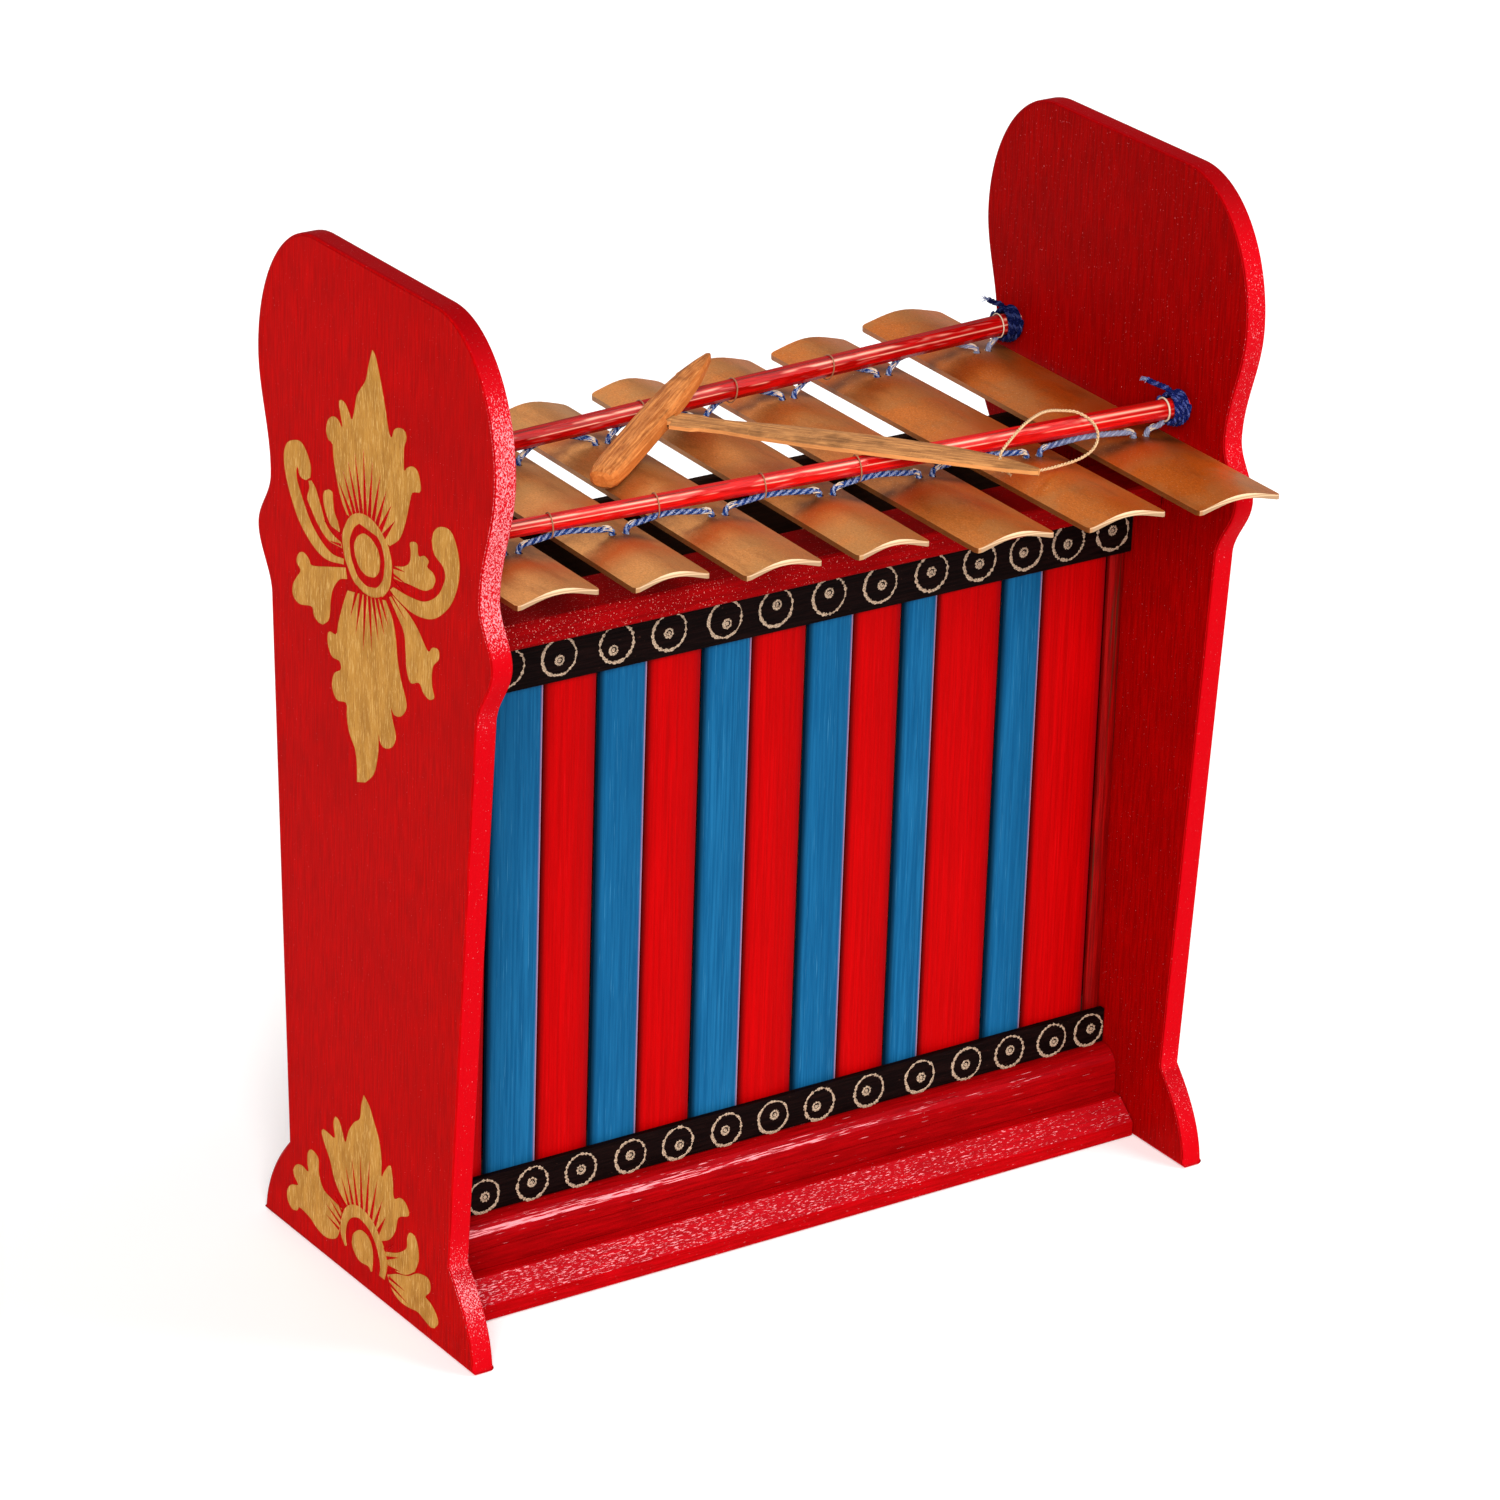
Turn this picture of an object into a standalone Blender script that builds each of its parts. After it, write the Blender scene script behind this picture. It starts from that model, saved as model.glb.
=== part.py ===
"""Seven-key suspended metallophone with its case, resonators, bamboo rods and mallet.

Metres, +Z up. X runs along the row of keys, the carved front wall faces -Y, and the
origin lies on the resting plane under the middle of the bounding box.
"""
import bpy
import bmesh
from math import asin, atan2, cos, pi, radians, sin, tan
from mathutils import Vector

GAP = 0.0003

# Overall size, end panels and the case's place behind the longest key
LENGTH = 0.3400
HEIGHT = 0.4095
PANEL_T = 0.0088
CASE_Y = 0.0035
PANEL_ROUND = 0.0007

# Outline of an end panel: half widths at named heights
FOOT_HALF = 0.0777
FOOT_H = 0.0370
ANKLE_HALF = 0.0594
WAIST_HALF = 0.0733
WAIST_Z = 0.2595
BUMP_HALF = 0.0836
BUMP_Z = 0.2850
NOTCH_HALF = 0.0745
NOTCH_Z = 0.3075
HEAD_HALF = 0.0838
HEAD_Z = 0.3550
TOP_FLAT_HALF = 0.0420

# Base board with its sloped front edge, and the moulded plinth on it
BASE_T = 0.0140
BASE_EDGE = 0.0060
BASE_SLOPE = 0.0092
BASE_LEDGE = 0.0045
PLINTH_H = 0.0180
PLINTH_DEPTH = 0.0200
PLINTH_NOSE = 0.0085
GROOVE = 0.0006

# Front wall, from its face to its back
WALL_Y = -0.0184
SLAT_T = 0.0030
SLAT_EDGE_T = 0.0017
BAND_T = 0.0030
LOWER_BAND_H = 0.0149
UPPER_BAND_H = 0.0243
INNER_RAIL_T = 0.0042
INNER_RAIL_H = 0.0190
STILE_W = 0.0069
CORNICE_DEPTH = 0.0282
CORNICE_T = 0.0103
CORNICE_TOP = 0.2799

# Bamboo slats from left to right, as relative widths, red first and then in turn
SLAT_SHARES = (21.5, 22.0, 22.5, 20.6, 23.3, 21.0, 23.9, 20.0, 21.5, 15.1, 29.6, 17.9, 29.9)
OPEN_JOINT = 0.0017
TIGHT_JOINT = 0.0006
END_JOINT = 0.0020

# Rear wall
REAR_Y = 0.0580
REAR_T = 0.0040
REAR_TOP = 0.2780

# Bamboo resonator tubes and the two rails that hold their mouths
TUBE_R = 0.0170
TUBE_WALL = 0.0032
TUBE_TOP = 0.2620
TUBE_AIR_SHORT = 0.0950
TUBE_AIR_LONG = 0.2050
NODE_WALL = 0.0030
NODE_RIDGE = 0.0008
TUBE_RAIL_T = 0.0030
TUBE_RAIL_H = 0.0120
TUBE_RAIL_DROP = 0.0080

# Suspension rods: height, place and radius at the left and right panel
ROD_Z = 0.3146
FRONT_ROD_Y = (-0.0277, -0.0459)
REAR_ROD_Y = (0.0408, 0.0634)
FRONT_ROD_R = (0.0029, 0.0037)
REAR_ROD_R = (0.0034, 0.0039)
ROD_SIDES = 8

# Keys from left to right
KEY_COUNT = 7
KEY_SLACKS = (0.0114, 0.0141, 0.0130, 0.0146, 0.0114, 0.0105, 0.0082)
KEY_NUDGES = (0.0042, 0.0029, -0.0016, -0.0014, -0.0046, -0.0034, -0.0002)
KEY_LENGTHS = (0.1590, 0.1695, 0.1835, 0.1910, 0.2095, 0.2145, 0.2300)
KEY_MIDDLES = (0.0100, 0.0087, 0.0057, 0.0060, -0.0002, -0.0012, 0.0000)
KEY_SKEWS = (0.0040, 0.0050, 0.0050, 0.0055, 0.0040, 0.0020, 0.0060)
KEY_T = 0.0020
KEY_RISE = 0.0036
KEY_CORNER = 0.0022
KEY_DROP = 0.0042
KEY_LIFT = 0.0006
HOLE_R = 0.0017
HOLE_PITCH = 0.0058
HOLE_SHIFT = 0.0025
HOLE_LEAD = 0.0020

# Suspension cords and the lashings at the rods' ends
CORD_R = 0.0010
LASHING_TURNS = 4
LASHING_START = 0.0009
TURN_PITCH = 0.0022

# Mallet: place of the joint of head and handle, where each rests on a rod, and main sizes
MALLET_X = -0.0284
MALLET_Y = 0.0345
MALLET_TURN = 37.5
HEAD_TILT = 11.25
HEAD_SKEW = 6.0
HEAD_REST = 0.0227
HANDLE_REST = 0.0900
HEAD_BUTT = 0.0480
HEAD_TIP = 0.0490
HEAD_HALF_W = 0.0068
HEAD_HALF_T = 0.0046
HANDLE_LENGTH = 0.1520
HANDLE_HALF_W = 0.0094
HANDLE_T = 0.0028
TENON_HALF_W = 0.0036
EYE_R = 0.0015
EYE_SHARE = 0.89
TWINE_R = 0.00065
LOOP_REACH = 0.0600

INNER_HALF = LENGTH / 2 - PANEL_T
SPAN_HALF = INNER_HALF - GAP
WALL_BACK = WALL_Y + SLAT_T + GAP + INNER_RAIL_T
PLINTH_TOP = BASE_T + GAP + PLINTH_H
CORNICE_UNDER = CORNICE_TOP - CORNICE_T
KEY_PITCH = 2 * INNER_HALF / KEY_COUNT
KEY_TOP = ROD_Z - max(FRONT_ROD_R + REAR_ROD_R) - KEY_DROP


def clear_scene():
    """Remove whatever the start-up file holds."""
    for item in list(bpy.data.objects):
        bpy.data.objects.remove(item, do_unlink=True)


def material(name, colour, roughness, metallic=0.0):
    """A Principled material of one colour, made once for each name."""
    made = bpy.data.materials.get(name)
    if made is None:
        made = bpy.data.materials.new(name)
        made.use_nodes = True
        shader = made.node_tree.nodes["Principled BSDF"]
        shader.inputs["Base Color"].default_value = (*colour, 1.0)
        shader.inputs["Roughness"].default_value = roughness
        shader.inputs["Metallic"].default_value = metallic
    return made


def red_paint():
    return material("red_paint", (0.52, 0.006, 0.008), 0.35)


def blue_paint():
    return material("blue_paint", (0.013, 0.17, 0.37), 0.4)


def black_paint():
    return material("black_paint", (0.012, 0.008, 0.007), 0.5)


def raw_bamboo():
    return material("raw_bamboo", (0.30, 0.17, 0.07), 0.6)


def red_bamboo():
    return material("red_bamboo", (0.55, 0.02, 0.015), 0.3)


def key_bronze():
    return material("key_bronze", (0.50, 0.24, 0.09), 0.38, 0.9)


def blue_cord():
    return material("blue_cord", (0.02, 0.06, 0.28), 0.8)


def twine():
    return material("twine", (0.66, 0.42, 0.23), 0.9)


def mallet_wood():
    return material("mallet_wood", (0.46, 0.20, 0.06), 0.6)


def empty(name, place):
    """A point that pieces are placed from."""
    mark = bpy.data.objects.new(name, None)
    mark.location = place
    bpy.context.collection.objects.link(mark)
    return mark


def add_mesh(name, mesh_builder, finish, parent=None):
    """Turn a finished bmesh into a named object with its material."""
    bmesh.ops.recalc_face_normals(mesh_builder, faces=mesh_builder.faces)
    mesh = bpy.data.meshes.new(name)
    mesh_builder.to_mesh(mesh)
    mesh_builder.free()
    mesh.materials.append(finish)
    piece = bpy.data.objects.new(name, mesh)
    bpy.context.collection.objects.link(piece)
    piece.parent = parent
    return piece


def soften(piece, width, segments=1):
    """Break the sharp edges of a piece by a small bevel."""
    bevel = piece.modifiers.new("soft_edges", "BEVEL")
    bevel.width = width
    bevel.segments = segments
    bevel.limit_method = "ANGLE"
    bevel.angle_limit = 0.6


def cut(piece, cutter):
    """Take the cutter's shape out of the piece."""
    hole = piece.modifiers.new("hole", "BOOLEAN")
    hole.operation = "DIFFERENCE"
    hole.solver = "EXACT"
    hole.object = cutter
    cutter.hide_render = True
    cutter.display_type = "WIRE"


def smooth(piece, angle=0.6):
    piece.data.shade_smooth()
    piece.data.set_sharp_from_angle(angle=angle)


def bar(name, outline, x0, x1, finish, parent):
    """A length of one section: an outline in Y and Z carried from x0 to x1."""
    build = bmesh.new()
    rim = [build.verts.new((x0, y, z)) for y, z in outline]
    face = build.faces.new(rim)
    moved = bmesh.ops.extrude_face_region(build, geom=[face])["geom"]
    verts = [item for item in moved if isinstance(item, bmesh.types.BMVert)]
    bmesh.ops.translate(build, verts=verts, vec=(x1 - x0, 0, 0))
    return add_mesh(name, build, finish, parent)


def plank(name, y0, y1, z0, z1, finish, parent, x0=-SPAN_HALF, x1=SPAN_HALF):
    outline = ((y0, z0), (y1, z0), (y1, z1), (y0, z1))
    return bar(name, outline, x0, x1, finish, parent)


def post(name, outline, z0, z1, finish, parent):
    """A strip of one section: an outline in X and Y carried from z0 to z1."""
    build = bmesh.new()
    rim = [build.verts.new((x, y, z0)) for x, y in outline]
    face = build.faces.new(rim)
    moved = bmesh.ops.extrude_face_region(build, geom=[face])["geom"]
    verts = [item for item in moved if isinstance(item, bmesh.types.BMVert)]
    bmesh.ops.translate(build, verts=verts, vec=(0, 0, z1 - z0))
    return add_mesh(name, build, finish, parent)


def loft(name, rings, finish, parent=None):
    """A closed skin over a row of rings, each a list of as many points."""
    build = bmesh.new()
    rows = [[build.verts.new(point) for point in ring] for ring in rings]
    for row, following in zip(rows, rows[1:]):
        for index in range(len(row)):
            after = (index + 1) % len(row)
            build.faces.new((row[index], row[after], following[after], following[index]))
    build.faces.new(rows[0])
    build.faces.new(rows[-1])
    return add_mesh(name, build, finish, parent)


def turned(name, profile, steps, finish, parent=None):
    """A profile of radius and height points spun about Z, closed where it meets the axis."""
    build = bmesh.new()
    verts = [build.verts.new((radius, 0, z)) for radius, z in profile]
    edges = [build.edges.new(pair) for pair in zip(verts, verts[1:])]
    if profile[0][0] > 0:
        edges.append(build.edges.new((verts[-1], verts[0])))
    bmesh.ops.spin(build, geom=verts + edges, cent=(0, 0, 0), axis=(0, 0, 1),
                   angle=2 * pi, steps=steps, use_merge=True)
    bmesh.ops.remove_doubles(build, verts=build.verts, dist=0.00001)
    return add_mesh(name, build, finish, parent)


def curve_through(start, bend, end, count):
    """Points of a quadratic curve that leaves start towards bend and arrives at end."""
    points = []
    for step in range(count + 1):
        t = step / count
        weights = ((1 - t) ** 2, 2 * t * (1 - t), t * t)
        points.append(tuple(
            weights[0] * start[axis] + weights[1] * bend[axis] + weights[2] * end[axis]
            for axis in range(len(start))))
    return points


def half_wave(start, end, count):
    """Points of a half cosine wave between two half widths, the last one included."""
    points = []
    for step in range(1, count + 1):
        t = step / count
        share = (1 - cos(pi * t)) / 2
        points.append((start[0] + (end[0] - start[0]) * share, start[1] + (end[1] - start[1]) * t))
    return points


def panel_outline():
    """The end panel's outline in Y and Z, front foot first, then mirrored behind."""
    foot = curve_through((FOOT_HALF, 0), (0.987 * FOOT_HALF, FOOT_H / 2), (ANKLE_HALF, FOOT_H), 6)
    half = foot + [(WAIST_HALF, WAIST_Z)]
    waist, bump = (WAIST_HALF, WAIST_Z), (BUMP_HALF, BUMP_Z)
    notch, head = (NOTCH_HALF, NOTCH_Z), (HEAD_HALF, HEAD_Z)
    half += half_wave(waist, bump, 6) + half_wave(bump, notch, 6) + half_wave(notch, head, 6)
    for step in range(1, 9):
        turn = pi / 2 * step / 8
        half.append((TOP_FLAT_HALF + (HEAD_HALF - TOP_FLAT_HALF) * cos(turn),
                     HEAD_Z + (HEIGHT - HEAD_Z) * sin(turn)))
    return [(-w, z) for w, z in half] + [(w, z) for w, z in reversed(half)]


def end_panels(case):
    for name, x0 in (("end_panel_left", -LENGTH / 2), ("end_panel_right", INNER_HALF)):
        panel = bar(name, panel_outline(), x0, x0 + PANEL_T, red_paint(), case)
        soften(panel, PANEL_ROUND)


def base_pieces(case):
    """The base board with a sloped front edge, and the plinth with its rounded nose."""
    fascia = WALL_BACK - PLINTH_DEPTH
    slope_top = fascia - BASE_LEDGE
    front = slope_top - BASE_SLOPE
    outline = ((front, 0), (REAR_Y, 0), (REAR_Y, BASE_T), (slope_top, BASE_T), (front, BASE_EDGE))
    soften(bar("base_board", outline, -SPAN_HALF, SPAN_HALF, red_paint(), case), 0.0005)

    foot = BASE_T + GAP
    nose_z = PLINTH_TOP - PLINTH_NOSE
    groove_z = nose_z - 3 * GROOVE
    outline = [(WALL_BACK, foot), (WALL_BACK, PLINTH_TOP)]
    for step in range(7):
        turn = pi / 2 * (1 - step / 6)
        outline.append((fascia + PLINTH_NOSE * (1 - cos(turn)), nose_z + PLINTH_NOSE * sin(turn)))
    outline += [(fascia, groove_z + GROOVE), (fascia + GROOVE, groove_z),
                (fascia, groove_z - GROOVE), (fascia, foot)]
    bar("plinth", outline, -SPAN_HALF, SPAN_HALF, red_paint(), case)


def front_wall(case):
    """Bands, inner rails, stiles and the cornice that close the slats in."""
    band_front, band_back = WALL_Y - GAP - BAND_T, WALL_Y - GAP
    rail_front = WALL_Y + SLAT_T + GAP
    foot, head = PLINTH_TOP + GAP, CORNICE_UNDER - GAP
    lower = plank("lower_band", band_front, band_back, foot, foot + LOWER_BAND_H, black_paint(), case)
    upper = plank("upper_band", band_front, band_back, head - UPPER_BAND_H, head, black_paint(), case)
    for band in (lower, upper):
        soften(band, 0.0004)
    plank("inner_rail_lower", rail_front, WALL_BACK, foot, foot + INNER_RAIL_H, red_paint(), case)
    plank("inner_rail_upper", rail_front, WALL_BACK, head - INNER_RAIL_H, head, red_paint(), case)
    cornice = plank("cornice", WALL_BACK - CORNICE_DEPTH, WALL_BACK, CORNICE_UNDER, CORNICE_TOP,
                    red_paint(), case)
    soften(cornice, 0.0008)
    for name, x0 in (("stile_left", -SPAN_HALF), ("stile_right", SPAN_HALF - STILE_W)):
        outline = slat_section(x0, x0 + STILE_W)
        post(name, outline, foot, head, red_paint(), case)


def slat_section(x0, x1):
    """A split strip in plan: flat at the back, bowed out to the wall's face in front."""
    middle, half = (x0 + x1) / 2, (x1 - x0) / 2
    bow = SLAT_T - SLAT_EDGE_T
    front = []
    for step in range(7):
        across = -1 + step / 3
        front.append((middle + half * across, WALL_Y + bow * across * across))
    back = WALL_Y + SLAT_T
    return front + [(x1, back), (x0, back)]


def slats(case):
    """The bamboo strips, red and blue in turn, side by side between the stiles."""
    foot, head = PLINTH_TOP + GAP, CORNICE_UNDER - GAP
    start = -SPAN_HALF + STILE_W + END_JOINT
    joints = [OPEN_JOINT if index % 2 == 0 else TIGHT_JOINT for index in range(len(SLAT_SHARES) - 1)]
    unit = (-2 * start - sum(joints)) / sum(SLAT_SHARES)
    for index, share in enumerate(SLAT_SHARES):
        finish = red_paint() if index % 2 == 0 else blue_paint()
        name = f"slat_{index + 1:02d}"
        post(name, slat_section(start, start + share * unit), foot, head, finish, case)
        if index < len(joints):
            start += share * unit + joints[index]


def rear_wall(case):
    rear = plank("rear_board", REAR_Y - REAR_T, REAR_Y, BASE_T + GAP, REAR_TOP, red_paint(), case)
    soften(rear, 0.0005)


def key_place(index):
    """Where a key's middle lies, how far it is turned, and its width."""
    centre = Vector((-INNER_HALF + KEY_PITCH * (index + 0.5) + KEY_NUDGES[index], KEY_MIDDLES[index], 0))
    turn = -atan2(KEY_SKEWS[index], KEY_LENGTHS[index])
    return centre, turn, KEY_PITCH - KEY_SLACKS[index]


def resonators(case):
    """Bamboo tubes open at the top, each closed inside at the depth its key needs."""
    front_rail = WALL_BACK + GAP
    tube_y = front_rail + TUBE_RAIL_T + GAP + TUBE_R
    foot, bore = BASE_T + GAP, TUBE_R - TUBE_WALL
    for index in range(KEY_COUNT):
        air = TUBE_AIR_SHORT + (TUBE_AIR_LONG - TUBE_AIR_SHORT) * index / (KEY_COUNT - 1)
        floor = TUBE_TOP - air
        ceiling = floor - NODE_WALL
        profile = ((0, floor), (bore, floor), (bore, TUBE_TOP), (TUBE_R, TUBE_TOP),
                   (TUBE_R, floor + 3 * NODE_RIDGE), (TUBE_R + NODE_RIDGE, floor), (TUBE_R, ceiling),
                   (TUBE_R, foot), (bore, foot), (bore, ceiling), (0, ceiling))
        tube = turned(f"resonator_{index + 1}", profile, 16, raw_bamboo(), case)
        tube.location = (key_place(index)[0].x, tube_y, 0)
        smooth(tube)
    rail_top = TUBE_TOP - TUBE_RAIL_DROP
    rear_rail = tube_y + TUBE_R + GAP
    for name, y0 in (("tube_rail_front", front_rail), ("tube_rail_rear", rear_rail)):
        plank(name, y0, y0 + TUBE_RAIL_T, rail_top - TUBE_RAIL_H, rail_top, raw_bamboo(), case)


def rod_at(ys, radii, x):
    """The middle and the half thickness of a rod where it crosses x."""
    share = (x + SPAN_HALF) / (2 * SPAN_HALF)
    return ys[0] + (ys[1] - ys[0]) * share, radii[0] + (radii[1] - radii[0]) * share


def ring_yz(x, y, z, radius, count, start=0.0):
    return [(x, y + radius * cos(start + 2 * pi * step / count), z + radius * sin(start + 2 * pi * step / count))
            for step in range(count)]


def rod(name, ys, radii):
    """A planed bamboo rod with eight flats that tapers from the right end to the left."""
    rings = []
    for x in (-SPAN_HALF, 0, SPAN_HALF):
        y, radius = rod_at(ys, radii, x)
        corner = radius / cos(pi / ROD_SIDES)
        rings.append(ring_yz(x, y, ROD_Z, corner, ROD_SIDES, pi / ROD_SIDES))
    return loft(name, rings, red_bamboo())


def lashing(name, ys, radii, side):
    """The cord wound round a rod's end against the panel, as one ridged sleeve."""
    rings = []
    start = side * (SPAN_HALF - LASHING_START)
    length = LASHING_TURNS * TURN_PITCH
    mouth = start - side * length
    bore = max(rod_at(ys, radii, x)[1] for x in (start, mouth)) / cos(pi / ROD_SIDES) + GAP
    profile = [(0.0, bore)]
    for turn in range(LASHING_TURNS):
        for step in range(1, 6):
            swing = pi * step / 6
            along = (turn + (1 - cos(swing)) / 2) * TURN_PITCH
            profile.append((along, bore + CORD_R + CORD_R * sin(swing)))
        profile.append(((turn + 1) * TURN_PITCH, bore + CORD_R))
    profile[-1] = (length, bore)
    for along, radius in profile + [(0.0, bore)]:
        x = start - side * along
        rings.append(ring_yz(x, rod_at(ys, radii, x)[0], ROD_Z, radius, 16))
    build = bmesh.new()
    rows = [[build.verts.new(point) for point in ring] for ring in rings[:-1]]
    rows.append(rows[0])
    for row, following in zip(rows, rows[1:]):
        for index in range(16):
            after = (index + 1) % 16
            build.faces.new((row[index], row[after], following[after], following[index]))
    sleeve = add_mesh(name, build, blue_cord())
    smooth(sleeve)
    return sleeve


def key_height(across):
    """Height of the arched sheet below its crown, at a share of its half width."""
    return -KEY_RISE * (0.6 * across * across + 0.2 * (1 - cos(pi * across)))


def hole_places(index):
    """Both holes of both rods in one key, as places in the world."""
    centre, turn, width = key_place(index)
    places = []
    for ys, radii in ((FRONT_ROD_Y, FRONT_ROD_R), (REAR_ROD_Y, REAR_ROD_R)):
        row = []
        for side in (-1, 1):
            x = centre.x + HOLE_SHIFT + side * HOLE_PITCH / 2
            y = rod_at(ys, radii, x)[0] - HOLE_LEAD
            row.append((x - (y - centre.y) * sin(turn), y))
        places.append(row)
    return places


def key(index):
    """One sheet-metal key: arched across, corners rounded, four cord holes."""
    centre, turn, width = key_place(index)
    half_l, half_w = KEY_LENGTHS[index] / 2, width / 2
    columns = [-1 + step / 5 for step in range(11)]
    rows = [-half_l, -half_l + KEY_CORNER * 0.3, -half_l + KEY_CORNER, 0,
            half_l - KEY_CORNER, half_l - KEY_CORNER * 0.3, half_l]
    inset = [0.9, 0.27, 0, 0, 0, 0.27, 0.9]
    build = bmesh.new()
    skins = []
    for drop in (0, -KEY_T):
        skin = []
        for y, share in zip(rows, inset):
            reach = half_w - KEY_CORNER * share
            skin.append([build.verts.new((reach * across, y, key_height(reach * across / half_w) + drop))
                         for across in columns])
        skins.append(skin)
    top, under = skins
    for row in range(len(rows) - 1):
        for column in range(len(columns) - 1):
            for skin in skins:
                build.faces.new((skin[row][column], skin[row][column + 1],
                                 skin[row + 1][column + 1], skin[row + 1][column]))
        for column in (0, -1):
            build.faces.new((top[row][column], top[row + 1][column], under[row + 1][column], under[row][column]))
    for row in (0, -1):
        for column in range(len(columns) - 1):
            build.faces.new((top[row][column], top[row][column + 1], under[row][column + 1], under[row][column]))
    plate = add_mesh(f"key_{index + 1}", build, key_bronze())
    plate.location = (centre.x, centre.y, KEY_TOP)
    plate.rotation_euler = (0, 0, turn)
    for row in hole_places(index):
        for x, y in row:
            drill_build = bmesh.new()
            bmesh.ops.create_cone(drill_build, cap_ends=True, segments=10, radius1=HOLE_R, radius2=HOLE_R,
                                  depth=6 * KEY_T)
            drill = add_mesh(f"drill_{index + 1}", drill_build, key_bronze())
            drill.location = (x, y, KEY_TOP - KEY_T / 2)
            cut(plate, drill)
    return plate


def cord_route(ys, radii, row):
    """Route of a suspension cord: up under the rod between keys, down and up through each key."""
    over = KEY_TOP + KEY_LIFT + GAP + CORD_R
    below = KEY_TOP - KEY_T - GAP - CORD_R
    points = []
    start = -SPAN_HALF + LASHING_START + LASHING_TURNS * TURN_PITCH + 2 * GAP
    points += [under_rod(ys, radii, start), under_rod(ys, radii, start + CORD_R)]
    for index in range(KEY_COUNT):
        (x0, y0), (x1, y1) = hole_places(index)[row]
        bend = [(5.2, 0.6), (2.2, 0.1), (0.6, -0.8), (0, -2.2)]
        left = [(x0 - side * CORD_R, y0, over + up * CORD_R) for side, up in bend]
        left += [(x0, y0, below + 1.2 * CORD_R), (x0 + CORD_R, y0, below)]
        right = [(x1 + side * CORD_R, y1, over + up * CORD_R) for side, up in bend]
        right += [(x1, y1, below + 1.2 * CORD_R), (x1 - CORD_R, y1, below)]
        points += left + right[::-1]
        if index < KEY_COUNT - 1:
            following = hole_places(index + 1)[row][0][0]
            points.append(under_rod(ys, radii, (x1 + following) / 2))
    return points + [under_rod(ys, radii, -start - CORD_R), under_rod(ys, radii, -start)]


def under_rod(ys, radii, x):
    y, radius = rod_at(ys, radii, x)
    return (x, y - HOLE_LEAD / 2, ROD_Z - radius - GAP - CORD_R)


def tube_along(name, points, radius, finish, parent=None):
    """A cord as a round tube through its points, with closed ends."""
    curve = bpy.data.curves.new(name, "CURVE")
    curve.dimensions = "3D"
    curve.bevel_depth = radius
    curve.bevel_resolution = 2
    curve.use_fill_caps = True
    curve.materials.append(finish)
    line = curve.splines.new("POLY")
    line.points.add(len(points) - 1)
    for spot, point in zip(line.points, points):
        spot.co = (*point, 1)
    cord = bpy.data.objects.new(name, curve)
    bpy.context.collection.objects.link(cord)
    cord.parent = parent
    return cord


def suspension():
    """Both rods, the cord woven under each, and the lashings at their ends."""
    for side_name, ys, radii, row in (("front", FRONT_ROD_Y, FRONT_ROD_R, 0),
                                      ("rear", REAR_ROD_Y, REAR_ROD_R, 1)):
        rod(f"rod_{side_name}", ys, radii)
        tube_along(f"cord_{side_name}", cord_route(ys, radii, row), CORD_R, blue_cord())
        lashing(f"lashing_{side_name}_left", ys, radii, -1)
        lashing(f"lashing_{side_name}_right", ys, radii, 1)


def rounded_ring(centre, half_side, half_up, along, count=12):
    """A ring between an oval and a rectangle, across the X or the Y direction."""
    points = []
    for step in range(count):
        turn = 2 * pi * (step + 0.5) / count
        side = half_side * abs(cos(turn)) ** 0.7 * (1 if cos(turn) > 0 else -1)
        up = half_up * abs(sin(turn)) ** 0.7 * (1 if sin(turn) > 0 else -1)
        shift = (0, side, up) if along == "X" else (side, 0, up)
        points.append(tuple(middle + move for middle, move in zip(centre, shift)))
    return points


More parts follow.
